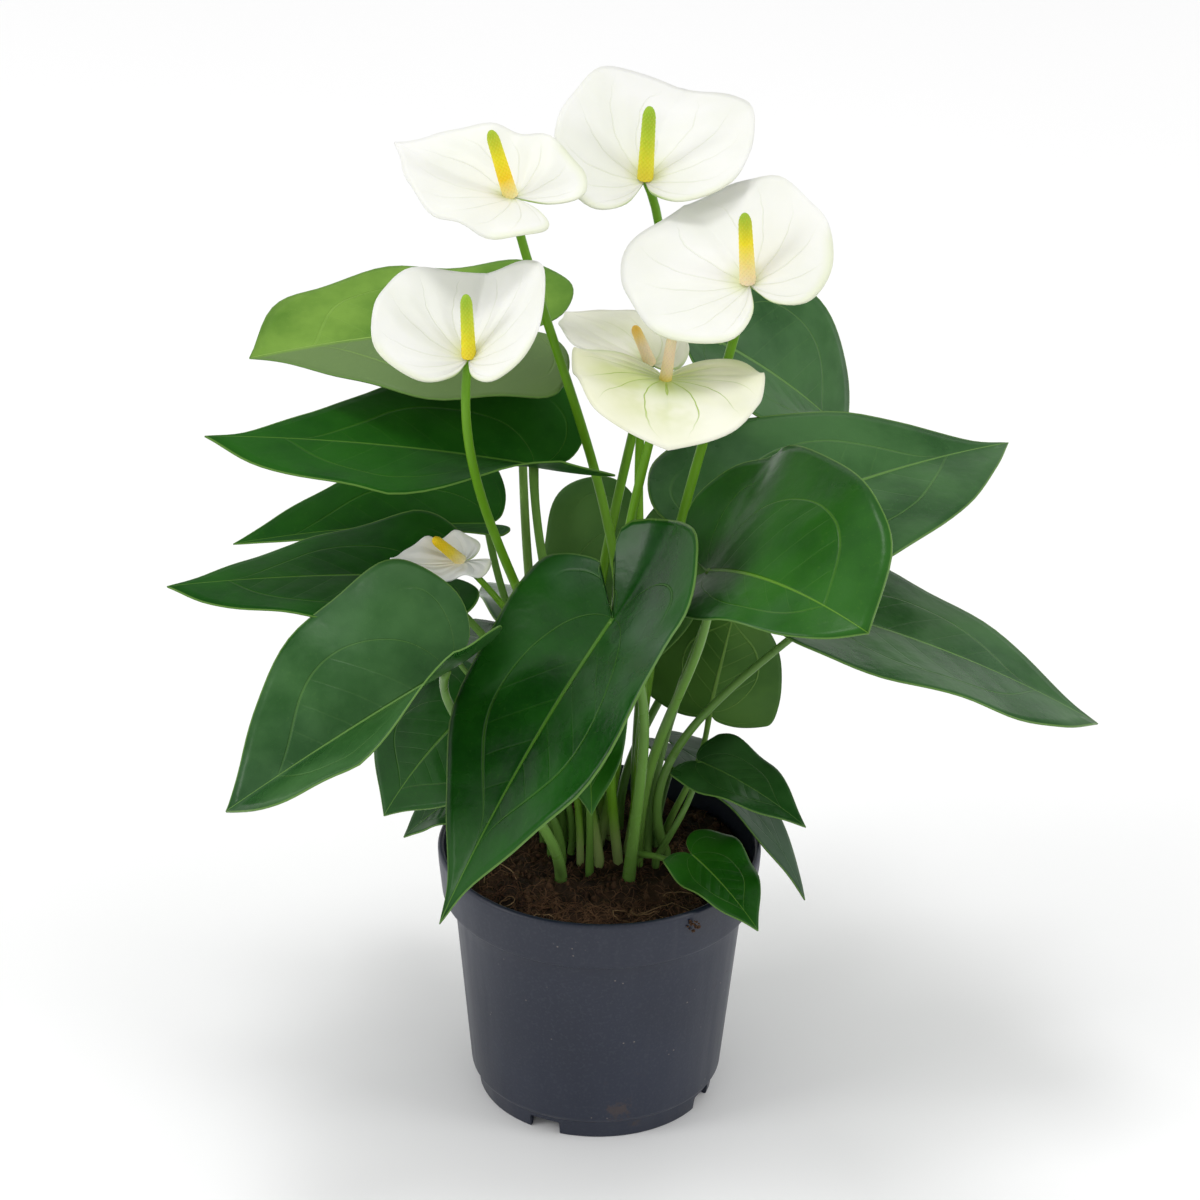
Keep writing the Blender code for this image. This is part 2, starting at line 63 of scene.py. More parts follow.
# Shader helpers: a Signal is a node's output, and arithmetic on it adds math nodes
class Signal:
    def __init__(self, look, socket):
        self.look = look
        self.socket = socket

    def math(self, operation, *others):
        return self.look.node("ShaderNodeMath", {"operation": operation}, [self, *others])

    def __add__(self, other):
        return self.math("ADD", other)

    def __sub__(self, other):
        return self.math("SUBTRACT", other)

    def __mul__(self, other):
        return self.math("MULTIPLY", other)

    def __truediv__(self, other):
        return self.math("DIVIDE", other)

    def __rsub__(self, other):
        return self.look.node("ShaderNodeMath", {"operation": "SUBTRACT"}, [other, self])


class Look:
    def __init__(self, name, settings):
        self.material = bpy.data.materials.new(name)
        self.material.use_nodes = True
        self.tree = self.material.node_tree
        self.shader = self.tree.nodes["Principled BSDF"]
        for socket, value in settings.items():
            self.shader.inputs[socket].default_value = value

    def feed(self, target, value):
        if isinstance(value, Signal):
            self.tree.links.new(value.socket, target)
        else:
            target.default_value = value

    def node(self, kind, settings, sockets, out=0):
        made = self.tree.nodes.new(kind)
        for key, value in settings.items():
            if key == "stops":
                elements = made.color_ramp.elements
                while len(elements) < len(value):
                    elements.new(0.5)
                for element, (at, colour) in zip(elements, value):
                    element.position = at
                    element.color = (*colour, 1.0)
            else:
                setattr(made, key, value)
        pairs = sockets.items() if isinstance(sockets, dict) else enumerate(sockets)
        for key, value in pairs:
            self.feed(made.inputs[key], value)
        return Signal(self, made.outputs[out])

    def blend(self, amount, low, high):
        # on a colour mix, sockets 6 and 7 are the two colours and output 2 is the result
        low, high = [v if isinstance(v, Signal) else (*v, 1.0) for v in (low, high)]
        return self.node("ShaderNodeMix", {"data_type": "RGBA"}, {0: amount, 6: low, 7: high}, out=2)

    def step(self, value, low, high, start=0.0, end=1.0):
        sockets = {"Value": value, "From Min": low, "From Max": high, "To Min": start, "To Max": end}
        return self.node("ShaderNodeMapRange", {"interpolation_type": "SMOOTHSTEP"}, sockets)

    def place(self, stretch=(1.0, 1.0, 1.0)):
        spot = self.node("ShaderNodeTexCoord", {}, {}, out="Object")
        return self.node("ShaderNodeMapping", {}, {"Vector": spot, "Scale": stretch})

    def uv(self, name):
        spot = self.node("ShaderNodeUVMap", {"uv_map": name}, {})
        return [self.node("ShaderNodeSeparateXYZ", {}, [spot], out=k) for k in (0, 1)]

    def cloud(self, scale, detail, rough=0.5, stretch=(1.0, 1.0, 1.0)):
        sockets = {"Vector": self.place(stretch), "Scale": scale, "Detail": detail, "Roughness": rough}
        return self.node("ShaderNodeTexNoise", {}, sockets)

    def relief(self, height, distance, strength):
        sockets = {"Height": height, "Distance": distance, "Strength": strength}
        self.set("Normal", self.node("ShaderNodeBump", {}, sockets))

    def set(self, socket, value):
        self.feed(self.shader.inputs[socket], value)


def softLook(name, specular, weight, scale, radius):
    # a look that lets some light through
    soft = {"Subsurface Weight": weight, "Subsurface Scale": scale, "Subsurface Radius": radius}
    return Look(name, {"Specular IOR Level": specular, **soft})


# Mesh helpers: points closer than this many metres become one
weld = {"disc": 0.00001, "pot": 0.000001, "tube": 0.000005, "spadix": 0.0001}


def makeObject(name, mesh, looks):
    made = bpy.data.objects.new(name, mesh)
    mesh.materials.clear()
    for look in looks:
        mesh.materials.append(look.material)
    bpy.context.scene.collection.objects.link(made)
    return made


def meshFrom(bm, name, smooth=True):
    mesh = bpy.data.meshes.new(name)
    for face in bm.faces:
        face.smooth = smooth
    bm.to_mesh(mesh)
    bm.free()
    return mesh


def applied(made):
    graph = bpy.context.evaluated_depsgraph_get()
    mesh = bpy.data.meshes.new_from_object(made.evaluated_get(graph))
    bpy.data.objects.remove(made)
    return mesh


def present(name, mesh, looks, slotName, *nodes):
    piece = makeObject(name, mesh, looks)
    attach(piece, "root")
    if nodes:
        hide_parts(*nodes)


def spun(points, steps, gap, closed=False):
    # a row of points turned about the Z axis
    bm = bmesh.new()
    row = [bm.verts.new(point) for point in points]
    follow = row[1:] + row[:1] if closed else row[1:]
    edges = [bm.edges.new(pair) for pair in zip(row, follow)]
    bmesh.ops.spin(
        bm, geom=row + edges, cent=(0, 0, 0), axis=(0, 0, 1), angle=math.tau, steps=steps, use_merge=True
    )
    bmesh.ops.remove_doubles(bm, verts=bm.verts, dist=gap)
    return bm


def discOf(spokes, rings):
    # a disc of radius 1 that faces up
    bm = spun([(k / rings, 0, 0) for k in range(rings + 1)], spokes, weld["disc"])
    bm.normal_update()
    if sum(face.normal.z for face in bm.faces) < 0:
        bmesh.ops.reverse_faces(bm, faces=bm.faces)
    return bm


def roundCurve(name, resolution):
    curve = bpy.data.curves.new(name, "CURVE")
    curve.dimensions = "3D"
    curve.bevel_depth = mm
    curve.bevel_resolution = resolution
    curve.use_fill_caps = True
    return curve


def curveMesh(curve):
    guide = bpy.data.objects.new(curve.name, curve)
    bpy.context.scene.collection.objects.link(guide)
    return applied(guide)


def tubeMesh(points, radii, name, resolution):
    curve = roundCurve(name, resolution)
    line = curve.splines.new("POLY")
    line.points.add(len(points) - 1)
    for spot, at, radius in zip(line.points, points, radii):
        spot.co = (*(at * mm), 1.0)
        spot.radius = radius
    bm = bmesh.new()
    bm.from_mesh(curveMesh(curve))
    bmesh.ops.remove_doubles(bm, verts=bm.verts, dist=weld["tube"])
    bmesh.ops.recalc_face_normals(bm, faces=bm.faces)
    return meshFrom(bm, name)


# The pot
potSizes = {
    "rimRadius": 60.0,
    "rimTop": 102.0,
    "bandBottom": 82.0,
    "bandFootRadius": 58.2,
    "bodyTopRadius": 53.5,
    "bodyFootRadius": 46.5,
    "footRadius": 44.8,
    "footHeight": 8.0,
    "wall": 1.4,
    "floorTop": 8.5,
    "notchHeadings": (-115.0, -25.0, 65.0, 155.0),
    "notchWidth": 12.0,
    "notchHeight": 5.5,
    "notchDepth": 12,
    "notchInset": 1.5,
    "notchRound": 1.0,
    "steps": 144,
    "edgeRound": 0.6,
    "cornerAngle": 0.3,  # radians: sharper edges than this are rounded
    "innerReach": 0.02,  # metres: edges nearer the axis stay as they are
    "level": 1e-6,  # metres: an edge that rises less than this runs round the pot
    "emptyFace": 1e-14,  # square metres: smaller faces, on the axis, are dropped
    "shadeAngle": 38,  # degrees: sharper edges are shaded hard
}


def potProfile(p):
    # radius and height of each corner: down the outside, under the foot and up the inside
    rim, band, foot = p["rimRadius"], p["bandFootRadius"], p["footRadius"]
    top, low, step = p["rimTop"], p["bandBottom"], p["footHeight"]
    return [
        (rim - 1.2, top),
        (rim, top - 1.2),
        (rim - 0.35, top - 6.5),
        (band + 0.2, low + 2.4),
        (band, low + 0.8),
        (band - 1.0, low),
        (p["bodyTopRadius"] + 0.6, low - 1.2),
        (p["bodyTopRadius"] - 0.4, low - 9.0),
        (p["bodyFootRadius"] + 0.4, step + 1.4),
        (p["bodyFootRadius"] - 0.6, step),
        (foot, step - 0.6),
        (foot - 1.0, 0.0),
        (foot - 3.0, 0.0),
        (foot - 3.4, step - 3.0),
        (13.0, step - 3.0),
        (12.0, 0.0),
        (0.0, 0.0),
        (0.0, p["floorTop"]),
        (p["bodyFootRadius"] - 2.4, p["floorTop"]),
        (p["bodyTopRadius"] - 1.2, low - 1.0),
        (band - 2.0, low + 1.6),
        (rim - p["wall"] - 1.0, top - 0.8),
    ]


def potMesh(p):
    corners = [(r * mm, 0, z * mm) for r, z in potProfile(p)]
    bm = spun(corners, p["steps"], weld["pot"], closed=True)
    flat = [face for face in bm.faces if face.calc_area() < p["emptyFace"]]
    bmesh.ops.delete(bm, geom=flat, context="FACES")
    bmesh.ops.recalc_face_normals(bm, faces=bm.faces)
    rounded = []
    for edge in bm.edges:
        first, second = (vert.co for vert in edge.verts)
        sharp = len(edge.link_faces) == 2 and edge.calc_face_angle(0) > p["cornerAngle"]
        if sharp and first.xy.length > p["innerReach"] and abs(first.z - second.z) < p["level"]:
            rounded.append(edge)
    bmesh.ops.bevel(
        bm, geom=rounded, offset=p["edgeRound"] * mm, affect="EDGES", segments=2, profile=0.5,
        material=-1, clamp_overlap=True,
    )
    return meshFrom(bm, "nurseryPot")


def notchCutters(p):
    cutters = []
    for heading in p["notchHeadings"]:
        bm = bmesh.new()
        bmesh.ops.create_cube(bm, size=1.0)
        block = (p["notchWidth"] * mm, p["notchDepth"] * mm, 2 * p["notchHeight"] * mm)
        bmesh.ops.scale(bm, vec=block, verts=bm.verts)
        bmesh.ops.bevel(
            bm, geom=bm.edges, offset=p["notchRound"] * mm, affect="EDGES", segments=3, profile=0.5,
            material=-1,
        )
        bmesh.ops.translate(bm, vec=(0, -(p["footRadius"] - p["notchInset"]) * mm, 0), verts=bm.verts)
        turn = Matrix.Rotation(math.radians(heading), 3, "Z")
        bmesh.ops.rotate(bm, cent=(0, 0, 0), matrix=turn, verts=bm.verts)
        cutters.append(bpy.data.objects.new("notch", meshFrom(bm, "notch")))
        bpy.context.scene.collection.objects.link(cutters[-1])
    return cutters


potTones = {
    "dark": (0.005, 0.009, 0.024),
    "light": (0.009, 0.0142, 0.0335),
    "grain": (0.034, 0.041, 0.058),
    "drag": (0.034, 0.038, 0.05),
    "splash": (0.085, 0.058, 0.042),
    "speck": (0.22, 0.19, 0.165),
}


def potLook(tones):
    look = Look("potPlastic", {"Specular IOR Level": 0.5})
    broad = look.cloud(14.0, 3.0)
    fine = look.cloud(900.0, 2.0)
    base = look.blend(look.step(broad, 0.35, 0.7), tones["dark"], tones["light"])
    base = look.blend(look.step(fine, 0.52, 0.66) * 0.22, base, tones["grain"])
    # faint vertical drag marks of the mould
    drag = look.cloud(120.0, 3.0, stretch=(1.0, 1.0, 0.05))
    base = look.blend(look.step(drag, 0.6, 0.8) * 0.3, base, tones["drag"])
    # dry splashes of soil in scattered patches
    splash = look.cloud(58.0, 6.0, 0.7)
    where = look.cloud(9.0, 2.0)
    soiled = look.step(splash, 0.6, 0.68) * look.step(where, 0.5, 0.62)
    base = look.blend(soiled * 0.45, base, tones["splash"])
    # pale specks of dust
    cells = {"Vector": look.place(), "Scale": 380.0, "Randomness": 1.0}
    speck = look.node("ShaderNodeTexVoronoi", {"feature": "F1"}, cells)
    pale = look.step(speck, 0.16, 0.1) * look.step(look.cloud(70.0, 2.0), 0.6, 0.66)
    base = look.blend(pale * 0.55, base, tones["speck"])
    look.set("Base Color", base)
    look.set("Roughness", look.step(drag, 0.2, 0.8, 0.36, 0.5) + soiled * 0.25)
    look.relief(fine * 0.4 + broad * 0.6 + soiled * 0.5, 0.00012, 0.6)
    return look


potPiece = makeObject("nurseryPot", potMesh(potSizes), [])
for notch in notchCutters(potSizes):
    cut = potPiece.modifiers.new("notch", "BOOLEAN")
    cut.operation = "DIFFERENCE"
    cut.solver = "EXACT"
    cut.object = notch
potBody = applied(potPiece)
for helper in [o for o in bpy.data.objects if o.name.startswith("notch")]:
    bpy.data.objects.remove(helper)
potBody.set_sharp_from_angle(angle=math.radians(potSizes["shadeAngle"]))
present("nurseryPot", potBody, [potLook(potTones)], "pot_plastic", "pot")
print("pot made")


# Leaf and spathe blades: shares of length and half width, from the tip back, then of the lobe
leafHalf = ((0.87, 0.22), (0.68, 0.58), (0.44, 0.88), (0.16, 1.0))
leafLobe = ((0.25, 0.98), (0.75, 0.8), (1.0, 0.46), (0.72, 0.15))
spatheHalf = ((0.88, 0.22), (0.72, 0.58), (0.46, 0.88), (0.18, 1.0))
spatheLobe = ((0.3, 0.97), (0.82, 0.76), (1.0, 0.42), (0.62, 0.12))

bladeSizes = {
    "spokes": 96,
    "rings": 18,
    "leafThickness": 0.6,
    "spatheThickness": 0.7,
    "creaseRound": 1.6,  # how softly the two halves meet along the midrib
    "unevenness": 0.9,
    "unevenSteps": (0.045, 0.06, 0.37),  # per mm along, across, and by the blade's length
    "waves": 2.0,
    "waveHeight": 1.5,
    "waveShift": 2.0,  # radians between the two halves
    "sinusDepth": 0.1,
}


def rimPoint(side, t):
    # a smooth line through the outline points of one side, t from 0 at the tip
    k = min(int(t), len(side) - 2)
    f = t - k
    b, c = Vector(side[k]), Vector(side[k + 1])
    a = Vector(side[k - 1]) if k > 0 else b * 2 - c
    d = Vector(side[k + 2]) if k + 2 < len(side) else c * 2 - b
    return 0.5 * (
        2 * b + (c - a) * f + (2 * a - 5 * b + 4 * c - d) * f * f + (3 * b - a - 3 * c + d) * f * f * f
    )


def rimOf(half, lobe, leaf, sizes):
    reach, spokes = leaf["length"], sizes["spokes"]
    sinus = -sizes["sinusDepth"] * min(leaf["lobe"])
    swing = leaf.get("swing", 0.0)
    points = []
    for hand in (0, 1):
        sign = 1 - 2 * hand
        spread, back = leaf["half"][hand], leaf["lobe"][hand]
        fuller = 1.0 - leaf.get("full", (0.0, 0.0))[hand]
        side = [(reach, 0.0)]
        side += [(x * reach, y**fuller * spread * sign) for x, y in half]
        side += [(-x * back, y * spread * sign) for x, y in lobe]
        inner, across = side.pop()
        side += [(inner, across + swing * inner), (sinus, swing * sinus)]
        share = [(len(side) - 1) * k / (spokes // 2) for k in range(spokes // 2 + 1)]
        line = [rimPoint(side, t) for t in share]
        points += line[:-1] if hand == 0 else line[:0:-1]
    return points


def bladeFrame(leaf):
    start = Vector(leaf["joint"])
    along = (Vector(leaf["tip"]) - start).normalized()
    side = Vector((0, 0, 1)).cross(along).normalized()
    up = along.cross(side)
    turn = Matrix.Rotation(math.radians(leaf["turn"]), 3, along)
    return start, along, turn @ side, turn @ up


def bladePoint(leaf, axes, s, w, sizes):
    # the flat point s along and w to the left, bent to its place
    start, along, side, up = axes
    crease = sizes["creaseRound"]
    droop = math.radians(leaf["droop"])
    reach = leaf["length"]
    bend = droop / reach
    if s >= 0:
        a = droop / 2 - bend * s
        x = (math.sin(droop / 2) - math.sin(a)) / bend
        z = (math.cos(a) - math.cos(droop / 2)) / bend
    else:
        a = droop / 2 + math.radians(leaf["lift"]) * s / max(leaf["lobe"])
        x = s * math.cos((a + droop / 2) / 2)
        z = s * math.sin((a + droop / 2) / 2)
    hand = 0 if w >= 0 else 1
    out = abs(w) / leaf["half"][hand]
    near = 1.0 - min(1.0, max(0.0, 2.0 * s / reach))
    fold = math.radians(leaf["fold"][hand] + leaf.get("cup", (0, 0))[hand] * near)
    curl = math.radians(leaf["curl"][hand])
    slope = fold + curl * out / 2
    spread = math.sqrt(w * w + crease * crease) - crease
    y = abs(w) + (spread - abs(w)) * (1 - math.cos(slope)) - abs(w) * (1 - math.cos(slope))
    rise = spread * math.sin(slope)
    wave = math.sin(math.tau * (sizes["waves"] * s / reach) + hand * sizes["waveShift"])
    rise += sizes["waveHeight"] * wave * out * out
    steps = sizes["unevenSteps"]
    grain = noise.noise(Vector((s * steps[0], w * steps[1], reach * steps[2])))
    rise += sizes["unevenness"] * out * grain
    forward = along * math.cos(a) + up * math.sin(a)
    upward = up * math.cos(a) - along * math.sin(a)
    return start + along * x + up * z + side * (y if w >= 0 else -y) + upward * rise


def bladeJoint(leaf):
    # where the blade starts, and which way its upper face looks there
    start, along, _, up = bladeFrame(leaf)
    tilt = math.radians(leaf["droop"] / 2)
    return start, up * math.cos(tilt) - along * math.sin(tilt)


def chordLength(leaf):
    chord = (Vector(leaf["tip"]) - Vector(leaf["joint"])).length
    droop = math.radians(leaf["droop"])
    return chord * (droop / 2) / math.sin(droop / 2)


def bladeMesh(leaf, half, lobe, thickness, name, sizes):
    spokes = sizes["spokes"]
    rim = rimOf(half, lobe, leaf, sizes)
    axes = bladeFrame(leaf)
    bm = discOf(spokes, sizes["rings"])
    flat = bm.loops.layers.uv.new("flat")
    edge = bm.loops.layers.uv.new("edge")
    for vert in bm.verts:
        share = vert.co.xy.length
        turn = math.atan2(vert.co.y, vert.co.x) % math.tau
        border = rim[round(turn / math.tau * spokes) % spokes]
        spot = border * share
        for loop in vert.link_loops:
            hand = 0 if spot.y >= 0 else 1
            loop[flat].uv = (spot.x / leaf["length"], spot.y / leaf["half"][hand])
            loop[edge].uv = (share, border.length / leaf["length"])
        vert.co = bladePoint(leaf, axes, spot.x, spot.y, sizes) * mm
    blade = makeObject(name, meshFrom(bm, name), [])
    skin = blade.modifiers.new("thickness", "SOLIDIFY")
    skin.thickness = thickness * mm
    skin.offset = -1.0
    skin.material_offset = 1
    skin.material_offset_rim = 0
    blade.data.materials.append(None)
    blade.data.materials.append(None)
    return applied(blade)


stemSizes = {
    "footHeight": 80.3,
    "collarHeight": 96.0,
    "steps": 32,
    "resolution": 4,
    "rise": 0.42,  # share of its reach that a stem first rises straight
    "arrival": 0.3,  # share that it runs straight into the blade
    "sink": 0.2,  # mm that its end sinks into the blade
    "leafTaper": 0.28,
    "flowerTaper": 0.16,
    "footSwell": 0.12,
    "footSpan": 6,
    "knuckle": 0.22,  # swelling of a leaf stalk under its blade
    "knuckleSpan": 2.2,
    "lean": 0.006,  # lean of a leaf stalk's end for each mm that its joint stands out
    "tuck": 0.4,  # how far it turns to meet the blade's face
}


def stalkPath(grown, end, arrive):
    # bow pushes the curve's two middle handles sideways, x and y each
    root, bow = grown["root"], grown.get("bow", (0, 0, 0, 0))
    foot = Vector((root[0], root[1], stemSizes["footHeight"]))
    collar = Vector((root[0], root[1], stemSizes["collarHeight"]))
    reach = (end - collar).length
    first = collar + Vector((bow[0], bow[1], stemSizes["rise"] * reach))
    last = end - arrive * (stemSizes["arrival"] * reach) + Vector((bow[2], bow[3], 0))
    path = [foot, collar]
    for i in range(1, stemSizes["steps"] + 1):
        t = i / stemSizes["steps"]
        near = collar * (1 - t) ** 3 + first * (3 * t * (1 - t) ** 2)
        path.append(near + last * (3 * t * t * (1 - t)) + end * t**3)
    return path


def stemLook(name, low, high, pale):
    look = softLook(name, 0.18, 0.08, 0.002, (0.6, 1.0, 0.3))
    streak = look.cloud(150.0, 4.0, stretch=(1.0, 1.0, 0.08))
    patch = look.cloud(25.0, 2.0)
    height = look.node("ShaderNodeSeparateXYZ", {}, [look.place()], out=2)
    base = look.blend(look.step(height + patch * 0.05, 0.12, 0.3), low, high)
    base = look.blend(look.step(streak, 0.45, 0.75) * 0.28, base, pale)
    # paler where the stem leaves the soil
    root = look.step(height + (streak - 0.5) * 0.02, 0.118, 0.096)
    base = look.blend(root * 0.5, base, (0.42, 0.47, 0.22))
    look.set("Base Color", base)
    look.set("Roughness", look.step(streak, 0.2, 0.8, 0.3, 0.45))
    look.relief(streak, 0.0003, 0.4)
    return look


# Leaf looks: a midrib, a vein that follows the rim on each side, one into each lobe, fine side veins
def veinPattern(look, spacing, thin=1.0):
    x, y = look.uv("flat")
    share, reach = look.uv("edge")
    out = y.math("ABSOLUTE")
    wander = look.cloud(45.0, 2.0) - 0.5
    angle = (out * 0.4).math("ARCTAN2", x) / math.pi + wander * 0.02
    # gathering vein: leaves the joint sideways and runs at a steady share of the way to the rim
    course = look.step(angle, 0.6, 0.1, 0.0, 0.76)
    gather = ((share - course).math("ABSOLUTE") * reach) / thin
    gather = look.step(gather, 0.0085, 0.0025) * look.step(angle, 0.66, 0.52) * look.step(x, 0.96, 0.55)
    second = look.step(angle, 0.97, 0.62, 0.0, 0.74)
    lobe = ((share - second).math("ABSOLUTE") * reach) / thin
    lobe = look.step(lobe, 0.0075, 0.002) * look.step(angle, 0.5, 0.64) * look.step(share, 0.9, 0.6)
    # side veins from the midrib to the gathering vein
    left = y.math("GREATER_THAN", 0.0)
    slant = (x - out * 0.3 - out * out * 0.12 + wander * 0.02) / spacing + left * 0.45
    near = slant.math("PINGPONG", 0.5)
    inside = look.step(share - course, 0.03, -0.05) * look.step(slant, 0.05, 0.6)
    side = look.step(near * spacing / thin, 0.006, 0.0012) * inside
    width = look.step(x, 1.0, 0.0, 0.008, 0.03) * thin
    spine = look.step(out / width, 1.0, 0.45) * look.step(x, -0.012, 0.004)
    swell = look.step(near, 0.0, 0.5) * inside
    main, gap = gather.math("MAXIMUM", lobe), (1.0 - share) * reach
    return {"main": main, "side": side, "spine": spine, "swell": swell, "left": left, "out": out, "gap": gap}


def leafTopLook(name, deep, bright, vein, rough, gloss=0.22, sheenPatches=0.26, halfSheen=None):
    look = Look(name, {"Specular IOR Level": gloss})
    v = veinPattern(look, 0.135)
    mottle = look.cloud(26.0, 4.0, 0.55)
    fine = look.cloud(650.0, 3.0, 0.6)
    blotch = look.cloud(120.0, 3.0, 0.6)
    base = look.blend(look.step(mottle, 0.32, 0.7), deep, bright)
    base = look.blend(look.step(blotch, 0.45, 0.7) * 0.22, base, bright)
    # painted sheen: one half of the blade turns a paler grey-green
    if halfSheen:
        base = look.blend(v["left"] * look.step(v["out"], 0.0, 0.06) * 0.9, base, halfSheen)
    base = look.blend(look.step(fine, 0.58, 0.76) * 0.1, base, vein)
    for part, strength in (("side", 0.07), ("main", 0.3), ("spine", 0.85)):
        base = look.blend(v[part] * strength, base, vein)
    margin = look.step(v["gap"], 0.0075, 0.003)
    base = look.blend(margin * 0.75, base, (0.13, 0.26, 0.05))
    # painted sheen in broad bluish-white patches, and a few pale scuffs
    waxy = look.step(look.cloud(15.0, 3.0), 0.53, 0.72)
    base = look.blend(waxy * sheenPatches, base, (0.115, 0.175, 0.135))
    scuff = look.step(look.cloud(16.0, 5.0, 0.75), 0.705, 0.735) * look.step(fine, 0.45, 0.6)
    base = look.blend(scuff * 0.22, base, (0.3, 0.36, 0.26))
    look.set("Base Color", base)
    look.set("Roughness", look.step(mottle, 0.25, 0.75, rough, rough + 0.1) + scuff * 0.15)
    height = v["swell"] * 0.14 - v["side"] * 0.05 - v["main"] * 0.36 - v["spine"] * 0.6
    look.relief(height + fine * 0.035 + blotch * 0.22 + mottle * 1.3, 0.0013, 0.6)
    return look


def leafUnderLook(name, deep, bright, vein):
    look = Look(name, {"Specular IOR Level": 0.2})
    v = veinPattern(look, 0.135, 1.3)
    mottle = look.cloud(45.0, 4.0)
    base = look.blend(look.step(mottle, 0.3, 0.7), deep, bright)
    for part, strength in (("side", 0.3), ("main", 0.6), ("spine", 0.9)):
        base = look.blend(v[part] * strength, base, vein)
    look.set("Base Color", base)
    look.set("Roughness", look.step(mottle, 0.2, 0.8, 0.46, 0.6))
    look.relief(v["side"] * 0.2 + v["main"] * 0.7 + v["spine"] * 1.0 + mottle * 0.4, 0.0008, 0.6)
    return look


leafTones = {
    "deep": dict(
        deep=(0.003, 0.04, 0.0022), bright=(0.01, 0.086, 0.0042), vein=(0.08, 0.21, 0.022), rough=0.23
    ),
    "rich": dict(
        deep=(0.006, 0.056, 0.0035), bright=(0.015, 0.098, 0.006), vein=(0.075, 0.2, 0.022), rough=0.42,
        gloss=0.05, sheenPatches=0.0,
    ),
    # paler, greyer greens with painted sheen of the lights mixed into the leaf colour
    "waxy": dict(
        deep=(0.01, 0.066, 0.0075), bright=(0.044, 0.134, 0.033), vein=(0.115, 0.25, 0.05), rough=0.25,
        gloss=0.22, sheenPatches=0.1,
    ),
    "fresh": dict(
        deep=(0.007, 0.064, 0.003), bright=(0.018, 0.112, 0.005), vein=(0.11, 0.26, 0.02), rough=0.26
    ),
    "light": dict(
        deep=(0.075, 0.185, 0.014), bright=(0.185, 0.335, 0.046), vein=(0.25, 0.42, 0.08), rough=0.4,
        gloss=0.15, sheenPatches=0.0, halfSheen=(0.125, 0.2, 0.07),
    ),
    "pale": dict(
        deep=(0.04, 0.12, 0.018), bright=(0.075, 0.175, 0.035), vein=(0.14, 0.27, 0.06), rough=0.5,
        gloss=0.15,
    ),
    # a blue-green leaf colour that also holds painted sheen
    "blue": dict(
        deep=(0.026, 0.062, 0.03), bright=(0.045, 0.095, 0.048), vein=(0.09, 0.16, 0.08), rough=0.38,
        gloss=0.15,
    ),
}
leafTops = {tone: leafTopLook("leaf" + tone.capitalize(), **mix) for tone, mix in leafTones.items()}
leafUnder = leafUnderLook("leafUnderside", (0.04, 0.12, 0.014), (0.07, 0.175, 0.024), (0.17, 0.32, 0.06))
leafStalk = stemLook("leafStalk", (0.125, 0.275, 0.02), (0.06, 0.18, 0.012), (0.2, 0.36, 0.05))
flowerStalk = stemLook("flowerStalk", (0.115, 0.275, 0.014), (0.11, 0.27, 0.01), (0.2, 0.4, 0.04))

